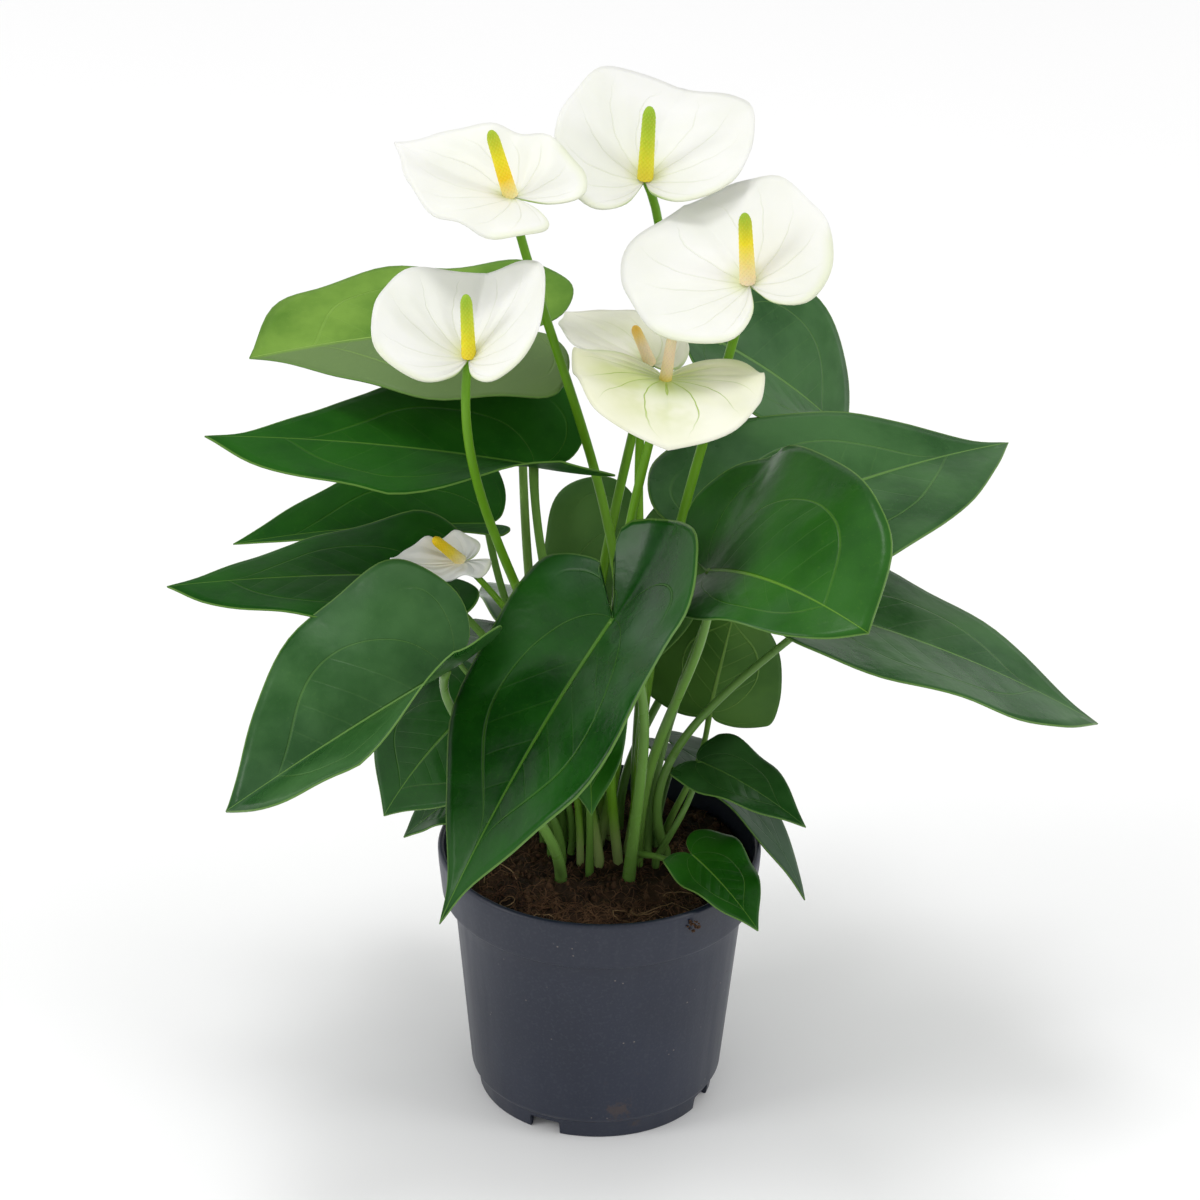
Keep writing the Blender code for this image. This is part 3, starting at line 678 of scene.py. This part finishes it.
# root: the stalk's place in the soil, joint and tip: where the blade starts and ends.
# Pairs are left and right: half and lobe in mm, fold, cup and curl in degrees, full as a share.
# leafUsual holds where a leaf gives nothing else.
leafUsual = dict(turn=0, curl=(-6, -6), lift=5)
leaves = {
    "leaf_01": dict(
        root=(-10.5, 17), joint=(-32, 46, 289), tip=(-129, 30, 283), half=(41, 37), lobe=(14, 24),
        fold=(-10, 20), full=(-0.1, 0.75), droop=14, lift=30, stalk=1.95, bow=(-22, 18, -3, 34),
        tone="light",
    ),
    "leaf_02": dict(
        root=(-7, 10.5), joint=(-26, 10.5, 251.7), tip=(-142, -11.5, 271.7), half=(38, 42), lobe=(26, 20),
        fold=(-8, 14), cup=(34, 24), curl=(8, -12), full=(0.5, -0.7), droop=10, stalk=2.05, tone="rich",
    ),
    "leaf_03": dict(
        root=(-14, 10.5), joint=(-43, 35.5, 215.2), tip=(-136, 27.5, 209.2), half=(14, 35), lobe=(8, 8),
        turn=-6, fold=(20, 14), curl=(0, -8), droop=12, lift=10, stalk=1.8, tone="rich",
    ),
    "leaf_04": dict(
        root=(-17.5, 4), joint=(-65, -4, 214), tip=(-156, -20, 216), half=(32, 32), lobe=(18, 18),
        fold=(2, 2), cup=(0, 22), curl=(-6, -10), full=(0.5, -0.3), droop=8, lift=10, stalk=1.8,
        bow=(-6, 15, 31, -3), tone="rich",
    ),
    "leaf_05": dict(
        root=(-14, -15.5), joint=(-55, -57, 203.5), tip=(-131, -88, 163), half=(45, 46), lobe=(28, 20),
        turn=-20, fold=(38, 26), cup=(22, 6), curl=(0, -20), full=(0.5, 0), droop=8, lift=20, stalk=2.05,
        bow=(-1, -36, -17, 15), tone="waxy",
    ),
    "leaf_06": dict(
        root=(11, -16), joint=(3, -45, 219), tip=(-56, -97, 124), half=(47, 40), lobe=(44, 16), turn=-6,
        fold=(18, 18), cup=(12, -10), curl=(0, -10), full=(-0.35, -0.4), swing=0.7, droop=18, lift=24,
        stalk=2.2, bow=(4, 0, 12, 0), tone="deep",
    ),
    "leaf_07": dict(
        root=(-14, -2.5), joint=(-49, -2, 157), tip=(-79, -22, 124), half=(36, 36), lobe=(15, 15),
        fold=(-6, 10), curl=(-10, -10), droop=24, lift=10, stalk=1.65, tone="deep",
    ),
    "leaf_08": dict(
        root=(-21, 10.5), joint=(-48, 12, 117), tip=(-73, 4, 100), half=(15, 15), lobe=(7, 7),
        fold=(10, 10), curl=(0, 0), droop=16, stalk=1.25, tone="deep",
    ),
    "leaf_09": dict(
        root=(-3.5, -9), joint=(-5, -24, 174), tip=(-3, -50, 142), half=(14, 17), lobe=(9, 9),
        fold=(10, 10), curl=(0, 0), droop=14, stalk=1.4, tone="fresh",
    ),
    "leaf_10": dict(
        root=(14, -2.5), joint=(37, -39.3, 236), tip=(90, -101.3, 245), half=(52, 23), lobe=(30, 8),
        turn=26, fold=(20, 0), cup=(0, 0), curl=(-10, 0), full=(0.6, 0.5), droop=46, lift=40, stalk=2.1,
        tone="fresh",
    ),
    "leaf_11": dict(
        root=(17.5, 4), joint=(47, 17, 224), tip=(150, 79, 231), half=(44, 46), lobe=(22, 22), turn=20,
        fold=(8, 16), curl=(-8, -8), full=(-0.5, 0.2), droop=20, lift=8, stalk=1.95, bow=(1, 7, -1, -6),
        tone="waxy",
    ),
    "leaf_12": dict(
        root=(24.5, 4), joint=(80, 6, 197), tip=(181, -6, 159), half=(38, 42), lobe=(20, 20), turn=-4,
        fold=(14, 2), curl=(-8, 0), full=(-0.3, 0.5), droop=16, lift=10, stalk=1.85, bow=(-16, -13, -19, 8),
        tone="waxy",
    ),
    "leaf_13": dict(
        root=(14, 24), joint=(41, 90.2, 265.2), tip=(92, 116.2, 214.2), half=(44, 32), lobe=(20, 20),
        turn=40, fold=(20, 20), curl=(-8, -8), full=(0.5, 0), droop=20, lift=10, stalk=1.8,
        bow=(-5, -30, 0, 12), tone="waxy",
    ),
    "leaf_14": dict(
        root=(0, 24), joint=(12, 46, 208), tip=(-4, 22, 146), half=(36, 36), lobe=(16, 16), fold=(8, 8),
        curl=(-8, -8), droop=14, stalk=1.7, tone="pale",
    ),
    "leaf_15": dict(
        root=(24.5, 17), joint=(40, 26, 144), tip=(49, 12, 200), half=(25, 25), lobe=(6, 6), turn=-40,
        fold=(16, 16), curl=(-8, -8), droop=20, stalk=1.4, bow=(3, -13, 0, -17), tone="under",
    ),
    "leaf_16": dict(
        root=(21, -2.5), joint=(36, 0, 137), tip=(75, -28, 126), half=(16, 16), lobe=(4, 4), turn=8,
        fold=(14, 10), droop=24, stalk=1.35, bow=(6, -8, 0, -4), tone="waxy",
    ),
    "leaf_17": dict(
        root=(21, 10.5), joint=(28, 35, 123.5), tip=(77, -3, 80), half=(17, 17), lobe=(9, 9), turn=-10,
        fold=(-6, 8), curl=(0, 0), droop=50, stalk=1.4, tone="blue",
    ),
    "leaf_18": dict(
        root=(10.5, -9), joint=(34, -29, 114), tip=(58, -55, 98), half=(18, 14), lobe=(9, 4), fold=(8, 4),
        droop=22, stalk=1.35, tone="fresh",
    ),
    "leaf_19": dict(
        root=(-10.5, 4), joint=(-61, 6, 195), tip=(-71, 0, 208), half=(7, 7), lobe=(4, 4), fold=(20, 20),
        curl=(0, 0), droop=14, stalk=1.25, bow=(5, -2, 4, -1), tone="deep",
    ),
    "leaf_20": dict(
        root=(-7, 24), joint=(-8, 66, 160), tip=(-28, 140, 134), half=(36, 36), lobe=(20, 20),
        fold=(14, 14), droop=26, lift=10, stalk=1.8, tone="deep",
    ),
    "leaf_21": dict(
        root=(7, 24), joint=(24, 64, 176), tip=(48, 138, 152), half=(37, 37), lobe=(20, 20), fold=(14, 14),
        droop=26, lift=10, stalk=1.8, bow=(0, 16, 21, -10), tone="deep",
    ),
    "leaf_22": dict(
        root=(-17.5, 17), joint=(-44, 44, 150), tip=(-100, 94, 120), half=(33, 33), lobe=(18, 18),
        fold=(14, 14), droop=24, lift=10, stalk=1.7, tone="deep",
    ),
}


def grownLeaf(name, leaf):
    leaf["length"] = chordLength(leaf)
    blade = bladeMesh(leaf, leafHalf, leafLobe, bladeSizes["leafThickness"], name + "Blade", bladeSizes)
    start, top = bladeJoint(leaf)
    lean = Vector((start.x - leaf["root"][0], start.y - leaf["root"][1], 0)) * stemSizes["lean"]
    arrive = (Vector((0, 0, 1)) + lean + top * stemSizes["tuck"]).normalized()
    path = stalkPath(leaf, start - top * stemSizes["sink"], arrive)
    thick, last, swell = leaf["stalk"], len(path) - 2, stemSizes["footSwell"]
    radii = []
    for i in range(len(path)):
        t = max(0, i - 1) / last
        foot = 1 + swell - swell * min(1, t * stemSizes["footSpan"])
        knuckle = stemSizes["knuckle"] * math.exp(-(((1 - t) * last / stemSizes["knuckleSpan"]) ** 2))
        radii.append(thick * foot * (1 - stemSizes["leafTaper"] * t) * (1 + knuckle))
    stalk = tubeMesh(path, radii, name + "Stalk", stemSizes["resolution"])
    bm = bmesh.new()
    bm.from_mesh(blade)
    bladeFaces = len(bm.faces)
    bm.from_mesh(stalk)
    bm.faces.ensure_lookup_table()
    for face in bm.faces[bladeFaces:]:
        face.material_index = 2
    upper = leafUnder if leaf["tone"] == "under" else leafTops[leaf["tone"]]
    mesh = meshFrom(bm, name + "_grown")
    slotName = "young_leaf_green" if leaf["tone"] in ("light", "pale") else "leaf_green"
    present(name + "_grown", mesh, [upper, leafUnder, leafStalk], slotName, name)


for name, leaf in leaves.items():
    grownLeaf(name, {**leafUsual, **leaf})
print("leaves made:", len(leaves))


# The blooms: the same fields as a leaf's, and spadix: where its tip ends
blooms = {
    "1": dict(
        root=(0, -2.5), joint=(-48, -38, 316.6), tip=(-44, 8, 327.6), half=(36, 36), lobe=(16, 16), turn=8,
        fold=(12, 46), curl=(10, 10), droop=36, lift=6, spadix=(-49, -42, 341.6), stalk=1.9,
        bow=(-14, 16, -2, -51), tone="white",
    ),
    "2": dict(
        root=(0, 10.5), joint=(-35, 6, 358), tip=(-76, 22, 371), half=(31, 29), lobe=(20, 22), turn=0,
        fold=(8, 20), curl=(-20, 16), droop=-16, lift=-6, spadix=(-42, 2, 384), stalk=1.9,
        bow=(26, 3, 27, 5), tone="white",
    ),
    "3": dict(
        root=(3.5, 17), joint=(12, 38, 352), tip=(26, 94, 364), half=(37, 40), lobe=(22, 12), turn=0,
        fold=(28, 16), curl=(10, 10), full=(0.35, 0), droop=34, lift=4, spadix=(13, 34, 381), stalk=1.9,
        bow=(-29, -10, 17, -8), tone="white",
    ),
    "4": dict(
        root=(14, 10.5), joint=(48, -10, 334), tip=(26, 38, 342), half=(42, 35), lobe=(22, 22), turn=-16,
        fold=(10, 24), curl=(0, 10), droop=32, lift=4, spadix=(46, -15, 362), stalk=2.0,
        bow=(-4, -9, -11, 4), tone="white",
    ),
    "5": dict(
        root=(7, -2.5), joint=(20, -25, 303), tip=(21, -70, 298), half=(34, 34), lobe=(16, 16), turn=-6,
        fold=(8, 8), curl=(6, 6), full=(0.5, 0.5), droop=24, lift=6, spadix=(22, -27, 321), stalk=1.9,
        bow=(-11, 0, -7, 5), tone="green",
    ),
    "6": dict(
        root=(10.5, 4), joint=(15, 10, 293), tip=(-16, 42, 298), half=(27, 16), lobe=(8, 8), turn=0,
        fold=(14, 14), curl=(10, 10), droop=24, lift=6, spadix=(9, 4, 310), stalk=1.8, bow=(12, -15, 3, -3),
        tone="cream",
    ),
    "7": dict(
        root=(-7, -2.5), joint=(-51, -14, 225), tip=(-76, -24, 231), half=(12, 12), lobe=(9, 9), turn=0,
        fold=(10, 34), curl=(-20, 30), droop=-30, lift=10, spadix=(-61, -18, 236), stalk=1.4,
        bow=(-1, 10, 23, 28), tone="paintedLight",
    ),
}

# colour along each spadix, from its foot (0) to its tip (1)
spadixTints = {
    "1": (
        (0.0, (0.84, 0.66, 0.04)), (0.25, (0.78, 0.7, 0.02)),
        (0.6, (0.52, 0.6, 0.03)), (1.0, (0.26, 0.44, 0.03)),
    ),
    "2": (
        (0.0, (0.86, 0.76, 0.36)), (0.3, (0.9, 0.62, 0.02)),
        (0.6, (0.8, 0.7, 0.02)), (1.0, (0.34, 0.48, 0.03)),
    ),
    "3": (
        (0.0, (0.8, 0.66, 0.05)), (0.3, (0.68, 0.66, 0.03)),
        (0.6, (0.46, 0.58, 0.03)), (1.0, (0.28, 0.46, 0.03)),
    ),
    "4": (
        (0.0, (0.86, 0.7, 0.46)), (0.4, (0.87, 0.7, 0.14)),
        (0.6, (0.84, 0.7, 0.02)), (1.0, (0.28, 0.44, 0.03)),
    ),
    "5": (
        (0.0, (0.82, 0.62, 0.1)), (0.2, (0.84, 0.68, 0.4)),
        (0.6, (0.84, 0.67, 0.48)), (1.0, (0.82, 0.7, 0.46)),
    ),
    "6": (
        (0.0, (0.84, 0.7, 0.42)), (0.5, (0.84, 0.68, 0.44)),
        (0.8, (0.86, 0.62, 0.2)), (1.0, (0.84, 0.52, 0.08)),
    ),
    "7": (
        (0.0, (0.86, 0.76, 0.46)), (0.4, (0.88, 0.68, 0.06)),
        (0.7, (0.9, 0.64, 0.01)), (1.0, (0.86, 0.6, 0.01)),
    ),
}

spatheTints = ((0.76, 0.77, 0.7), (0.82, 0.82, 0.79))


def spatheLook(name, blush, veins, bleed, patches=0.0, tints=spatheTints):
    # blush: the green that runs into the white, bleed: how far it spreads from the joint
    look = softLook(name, 0.25, 0.12, 0.003, (1.0, 1.0, 0.7))
    x, y = look.uv("flat")
    share, reach = look.uv("edge")
    out = y.math("ABSOLUTE")
    wander = look.cloud(34.0, 3.0) - 0.5
    angle = (out * 0.62).math("ARCTAN2", x + 0.02)
    fan = (angle + share * share * 0.42 + wander * 0.4) / 0.46
    line = fan.math("PINGPONG", 0.5)
    vein = look.step(line * share * reach, 0.014, 0.004) * look.step(share, 0.03, 0.12)
    vein = vein * look.step(share, 0.97, 0.55)
    ridge = look.step(line, 0.0, 0.5) * look.step(share, 0.05, 0.35) * look.step(share, 1.0, 0.75)
    ridge = ridge * look.step(look.cloud(19.0, 2.0), 0.36, 0.62)
    broad = look.cloud(24.0, 3.0)
    fine = look.cloud(600.0, 2.0)
    base = look.blend(look.step(broad, 0.3, 0.7), *tints)
    heart = look.step(share, bleed, 0.0)
    base = look.blend(heart * 0.75, base, blush)
    # green runs out along the lobes' rims
    rim = look.step(x, -0.02, -0.2) * look.step((1.0 - share) * reach, 0.1, 0.0)
    base = look.blend(rim * 0.32, base, blush)
    blotch = look.step(look.cloud(42.0, 3.0), 0.44, 0.62) * look.step(share, 1.0, 0.45)
    base = look.blend(blotch * patches, base, (0.5, 0.57, 0.17))
    base = look.blend(vein * veins, base, blush)
    # a green collar where the two lobes part round the stem
    collar = look.step((1.0 - share) * reach, 0.034, 0.008) * look.step(reach, 0.36, 0.16)
    base = look.blend(collar * 0.75, base, (0.26, 0.42, 0.04))
    look.set("Base Color", base)
    look.set("Roughness", look.step(broad, 0.2, 0.8, 0.36, 0.48))
    look.relief(ridge * 0.55 - vein * 0.22 + fine * 0.02 + broad * 0.9, 0.0018, 0.5)
    return look


def spadixLook(name, stops):
    look = softLook(name, 0.18, 0.12, 0.0012, (1.0, 0.2, 0.1))
    run, cell = look.uv("knobs")
    grain = look.cloud(500.0, 2.0) - 0.5
    base = look.node("ShaderNodeValToRGB", {"stops": stops}, [run + grain * 0.1])
    # painted shade: the pits between the florets are darkened
    pitShade = look.step(cell, 0.42, 0.05)
    base = look.blend(pitShade * 0.34, base, tuple(0.42 * c for c in stops[1][1]))
    # painted highlight: the floret tops turn a pale yellow
    base = look.blend(look.step(cell, 0.78, 0.98) * 0.12, base, (0.94, 0.9, 0.25))
    look.set("Base Color", base)
    look.set("Roughness", look.step(grain, -0.3, 0.3, 0.5, 0.66))
    look.relief(grain, 0.0002, 0.4)
    return look


spatheLooks = {
    "white": spatheLook("spatheWhite", (0.58, 0.66, 0.26), 0.14, 0.26),
    "green": spatheLook(
        "spatheGreenVeined", (0.34, 0.48, 0.07), 0.95, 0.6, patches=0.62,
        tints=((0.7, 0.71, 0.47), (0.82, 0.82, 0.68)),
    ),
    "cream": spatheLook(
        "spatheCream", (0.52, 0.62, 0.2), 0.3, 0.3, patches=0.22,
        tints=((0.78, 0.78, 0.63), (0.88, 0.87, 0.78)),
    ),
    # painted light: a whiter spathe for the bloom that sits in the shade of the canopy
    "paintedLight": spatheLook(
        "spatheYoung", (0.58, 0.66, 0.26), 0.06, 0.2, tints=((0.93, 0.93, 0.88), (0.95, 0.95, 0.92))
    ),
}
spadixSizes = {
    "around": 66,
    "along": 150,
    "florets": 11,
    "pitch": 0.95,
    "relief": 0.17,
    "taper": 0.22,
    "steepen": 0.82,  # the tip rounds off from this share of the length
    "shoulder": 0.82,  # and from this share of the radius
    "smoothTip": 0.2,
    "share": 0.1,  # radius as a share of the length, kept between thin and thick
    "thin": 2.2,
    "thick": 2.9,
    "sink": 0.2,
}


def spadixMesh(base, tip, radius, name, p):
    axis = tip - base
    length = axis.length
    points = [(0, 0, 0)]
    for k in range(p["along"] + 1):
        t = k / p["along"]
        if t < p["steepen"]:
            r = radius * (1.0 - p["taper"] * t)
        else:
            fall = (t - p["steepen"]) / (1 - p["steepen"])
            r = radius * p["shoulder"] * math.sqrt(max(0.0, 1 - fall**2))
        points.append((r if k < p["along"] else 0.0, 0, t * length))
    bm = spun(points, p["around"], weld["spadix"])
    bmesh.ops.recalc_face_normals(bm, faces=bm.faces)
    knobs = bm.loops.layers.uv.new("knobs")
    # florets lie where two sets of spirals cross
    for vert in bm.verts:
        turn = math.atan2(vert.co.y, vert.co.x)
        climb = math.pi * vert.co.z / p["pitch"]
        half = p["florets"] * turn / 2
        cell = math.sqrt(abs(math.cos(half + climb / 2) * math.cos(half - climb / 2)))
        for loop in vert.link_loops:
            loop[knobs].uv = (vert.co.z / length, cell)
        out = Vector((vert.co.x, vert.co.y, 0.0))
        if out.length > p["smoothTip"]:
            vert.co += out.normalized() * p["relief"] * (cell - 0.5)
    turn = Vector((0, 0, 1)).rotation_difference(axis).to_matrix()
    bmesh.ops.rotate(bm, cent=(0, 0, 0), matrix=turn, verts=bm.verts)
    bmesh.ops.translate(bm, vec=base, verts=bm.verts)
    bmesh.ops.scale(bm, vec=(mm, mm, mm), verts=bm.verts)
    return meshFrom(bm, name)


def grownBloom(number, bloom):
    bloom["length"] = chordLength(bloom)
    look = spatheLooks[bloom["tone"]]
    blade = bladeMesh(
        bloom, spatheHalf, spatheLobe, bladeSizes["spatheThickness"], "spathe" + number, bladeSizes
    )
    present("whiteSpathe" + number, blade, [look, look], "spathe_white", "spathe_" + number)
    start, top = bladeJoint(bloom)
    path = stalkPath(bloom, start - top * stemSizes["sink"], top)
    thick, last = bloom["stalk"], len(path) - 2
    radii = [thick * (1 - stemSizes["flowerTaper"] * max(0, i - 1) / last) for i in range(len(path))]
    stem = tubeMesh(path, radii, "stem" + number, stemSizes["resolution"])
    present("flowerStalk" + number, stem, [flowerStalk], "stem_green", "flower_stem_" + number)
    p, tip = spadixSizes, Vector(bloom["spadix"])
    radius = max(p["thin"], min(p["thick"], p["share"] * (tip - start).length))
    base = start + (tip - start).normalized() * p["sink"]
    mesh = spadixMesh(base, tip, radius, "spadix" + number, p)
    look = spadixLook("spadixTint" + number, spadixTints[number])
    present("knobbedSpadix" + number, mesh, [look], "spadix_yellow", "spadix_" + number)


for number, bloom in blooms.items():
    grownBloom(number, bloom)
print("blooms made:", len(blooms))


# The soil
soilSizes = {
    "top": 94.0,
    "lump": 2.2,
    "radius": 56.0,
    "spokes": 150,
    "rings": 46,
    "edgeFrom": 0.8,  # share of the radius from where the soil falls away to the wall
    "edgeDrop": 7.5,
    "skirt": ((80.5, 0.925), (9.0, 0.77)),  # height and share of the radius along the wall, downwards
    "crumbs": 900,
    "crumbRadius": (0.4, 1.5),
    "clod": (34.6, -50.2, 97.0),  # a clump of soil caught on the outside of the rim
    "clodCrumbs": 26,
    "clodSpread": (1.3, 0.35, 1.1),
    "clodRadius": (0.3, 0.8),
    "seed": 7,
}
strandShape = {
    "spread": 0.93, "front": (0.62, 0.93), "frontTurn": (-0.1, 0.5), "bend": 0.5, "jitter": 0.35,
    "lift": (0.2, 2.6), "thinning": 0.45, "wallGap": 1.5, "turnBack": 1.2,
}
# frontShare of the strands lie along the front rim; thin and stride are radius and step in mm
fibreSizes = {"count": 640, "frontShare": 0.4, "thin": (0.08, 0.2), "stride": (0.7, 1.9), "points": 8}
rootSizes = {"count": 13, "frontShare": 0.5, "thin": (0.2, 0.34), "stride": (1.2, 2.2), "points": 14}


def soilHeight(x, y, p):
    def bumps(step, layer):
        return noise.noise(Vector((x * step, y * step, layer)))

    lump = bumps(0.07, 3.1) + 0.6 * bumps(0.19, 7.7)
    rough = 1.1 * bumps(0.45, 1.3) + 0.6 * bumps(1.1, 5.0)
    share = math.hypot(x, y) / p["radius"]
    return p["top"] + p["lump"] * lump + rough - p["edgeDrop"] * max(0.0, share - p["edgeFrom"])


def soilMesh(p):
    bm = discOf(p["spokes"], p["rings"])
    for vert in bm.verts:
        x, y = vert.co.x * p["radius"], vert.co.y * p["radius"]
        vert.co = Vector((x, y, soilHeight(x, y, p))) * mm
    # down the pot's inner wall to its floor
    border = [e for e in bm.edges if e.is_boundary]
    for height, narrow in p["skirt"]:
        grown = bmesh.ops.extrude_edge_only(bm, edges=border)["geom"]
        border = [e for e in grown if isinstance(e, bmesh.types.BMEdge)]
        for vert in [v for v in grown if isinstance(v, bmesh.types.BMVert)]:
            turn = math.atan2(vert.co.y, vert.co.x)
            reach = p["radius"] * narrow * mm
            vert.co = Vector((reach * math.cos(turn), reach * math.sin(turn), height * mm))
    bmesh.ops.contextual_create(bm, geom=border)
    bmesh.ops.recalc_face_normals(bm, faces=bm.faces)
    return meshFrom(bm, "pottingSoil")


def soilLook(name, dark, light, roughness):
    look = Look(name, {"Roughness": roughness, "Specular IOR Level": 0.25})
    broad = look.cloud(90.0, 4.0, 0.65)
    fine = look.cloud(520.0, 5.0, 0.7)
    base = look.blend(look.step(broad, 0.35, 0.68), dark, light)
    base = look.blend(look.step(fine, 0.56, 0.72) * 0.55, base, tuple(2.1 * c for c in light))
    base = look.blend(look.step(fine, 0.44, 0.3) * 0.7, base, tuple(0.4 * c for c in dark))
    look.set("Base Color", base)
    look.relief(fine + broad * 0.8, 0.0012, 0.9)
    return look


def crumbMesh(p, draw):
    bm = bmesh.new()
    spots = []
    for k in range(p["crumbs"]):
        reach = p["radius"] * math.sqrt(draw.random()) * 0.99
        turn = draw.uniform(0, math.tau)
        x, y = reach * math.cos(turn), reach * math.sin(turn)
        spots.append((Vector((x, y, soilHeight(x, y, p) + 0.2)), draw.uniform(*p["crumbRadius"])))
    for k in range(p["clodCrumbs"]):
        loose = Vector([draw.gauss(0, spread) for spread in p["clodSpread"]])
        spots.append((Vector(p["clod"]) + loose, draw.uniform(*p["clodRadius"])))
    for spot, size in spots:
        made = bmesh.ops.create_icosphere(bm, subdivisions=1, radius=size * mm)["verts"]
        stretch = (draw.uniform(0.6, 1.4), draw.uniform(0.6, 1.4), draw.uniform(0.4, 0.9))
        bmesh.ops.scale(bm, vec=stretch, verts=made)
        for vert in made:
            vert.co *= draw.uniform(0.75, 1.25)
        turn = Matrix.Rotation(draw.uniform(0, 3), 3, Vector((draw.random(), 1, 0.4)))
        bmesh.ops.rotate(bm, matrix=turn, verts=made)
        bmesh.ops.translate(bm, vec=spot * mm, verts=made)
    return meshFrom(bm, "soilCrumbs", smooth=False)


def strandMesh(p, draw, shape, strand):
    # curly strands that lie on the soil
    points, curve = strand["points"], roundCurve("strands", 0)
    for k in range(strand["count"]):
        reach = p["radius"] * math.sqrt(draw.random()) * shape["spread"]
        turn = draw.uniform(0, math.tau)
        if draw.random() < strand["frontShare"]:
            reach = p["radius"] * draw.uniform(*shape["front"])
            turn = -math.pi / 2 + draw.gauss(*shape["frontTurn"])
        x, y = reach * math.cos(turn), reach * math.sin(turn)
        heading, bend = draw.uniform(0, math.tau), draw.uniform(-shape["bend"], shape["bend"])
        stride, lift = draw.uniform(*strand["stride"]), draw.uniform(*shape["lift"])
        thick = draw.uniform(*strand["thin"])
        line = curve.splines.new("POLY")
        line.points.add(points - 1)
        for i, spot in enumerate(line.points):
            if math.hypot(x, y) > p["radius"] - shape["wallGap"]:
                heading += shape["turnBack"]
            share = i / (points - 1)
            z = soilHeight(x, y, p) + lift * math.sin(math.pi * share) + 0.1
            spot.co = (x * mm, y * mm, z * mm, 1.0)
            spot.radius = thick * (1.0 - shape["thinning"] * share)
            heading += bend + draw.uniform(-shape["jitter"], shape["jitter"])
            x += stride * math.cos(heading)
            y += stride * math.sin(heading)
    return curveMesh(curve)


draw = random.Random(soilSizes["seed"])
peat = soilLook("peat", (0.016, 0.009, 0.005), (0.062, 0.032, 0.016), 0.95)
present("pottingSoil", soilMesh(soilSizes), [peat], "peat", "soil")
crumb = soilLook("soilCrumb", (0.036, 0.018, 0.009), (0.12, 0.062, 0.03), 0.92)
present("soilCrumbs", crumbMesh(soilSizes, draw), [crumb], "peat")
coir = soilLook("coirFibre", (0.075, 0.034, 0.016), (0.2, 0.108, 0.055), 0.88)
present("coirFibres", strandMesh(soilSizes, draw, strandShape, fibreSizes), [coir], "peat")
straw = soilLook("strawRoot", (0.18, 0.11, 0.05), (0.33, 0.22, 0.11), 0.82)
present("strawRoots", strandMesh(soilSizes, draw, strandShape, rootSizes), [straw], "peat")
print("soil made")


# Floor, lights and camera
studio = {
    "target": (-0.0014, 0.0, 0.203),
    "distance": 1.8,
    "elevation": 27.63,
    "roll": 1.01,
    "lens": 149.4,
    "sensor": 36.0,
    "clip": (0.01, 50.0),
    "floorSize": 8.0,
    "sky": 0.8,
}
lamps = {
    "topLight": dict(spot=(-0.25, -0.1, 2.6), aim=(0, 0, 0.1), size=(0.8, 0.6), power=14.0),
    "keyLight": dict(spot=(-2.2, -1.0, 1.5), aim=(0, 0, 0.2), size=(0.9, 1.1), power=17.0),
    "fillLight": dict(spot=(2.3, -0.8, 1.4), aim=(0, 0, 0.2), size=(0.9, 1.1), power=13.0),
}

bm = bmesh.new()
bmesh.ops.create_grid(bm, x_segments=8, y_segments=8, size=studio["floorSize"] / 2)
floorLook = Look("studioFloor", {"Roughness": 0.9, "Specular IOR Level": 0.1})
shade = floorLook.cloud(3.0, 2.0)
floorLook.set("Base Color", floorLook.blend(shade, (0.93, 0.93, 0.93), (0.95, 0.95, 0.95)))
floor = makeObject("studioFloor", meshFrom(bm, "studioFloor"), [floorLook])


def softLight(name, spot, aim, size, power):
    light = bpy.data.lights.new(name, "AREA")
    light.shape = "RECTANGLE"
    light.size, light.size_y = size
    light.energy = power
    made = bpy.data.objects.new(name, light)
    made.location = spot
    made.rotation_mode = "QUATERNION"
    made.rotation_quaternion = (Vector(aim) - Vector(spot)).to_track_quat("-Z", "Y")
    bpy.context.scene.collection.objects.link(made)


for name, lamp in lamps.items():
    softLight(name, **lamp)

sky = bpy.data.worlds.new("studioSky")
sky.use_nodes = True
sky.node_tree.nodes["Background"].inputs["Color"].default_value = (1.0, 1.0, 1.0, 1.0)
sky.node_tree.nodes["Background"].inputs["Strength"].default_value = studio["sky"]
bpy.context.scene.world = sky
bpy.context.scene.view_settings.view_transform = "Standard"

tilt = math.radians(studio["elevation"])
back = Vector((0.0, -math.cos(tilt), math.sin(tilt)))
lens = bpy.data.cameras.new("studioCamera")
lens.lens = studio["lens"]
lens.sensor_width = studio["sensor"]
lens.clip_start, lens.clip_end = studio["clip"]
camera = bpy.data.objects.new("studioCamera", lens)
camera.location = Vector(studio["target"]) + back * studio["distance"]
camera.rotation_mode = "QUATERNION"
level = (-back).to_track_quat("-Z", "Y")
rolled = Matrix.Rotation(math.radians(studio["roll"]), 3, back).to_quaternion()
camera.rotation_quaternion = rolled @ level
bpy.context.scene.collection.objects.link(camera)
bpy.context.scene.camera = camera
print("studio made")
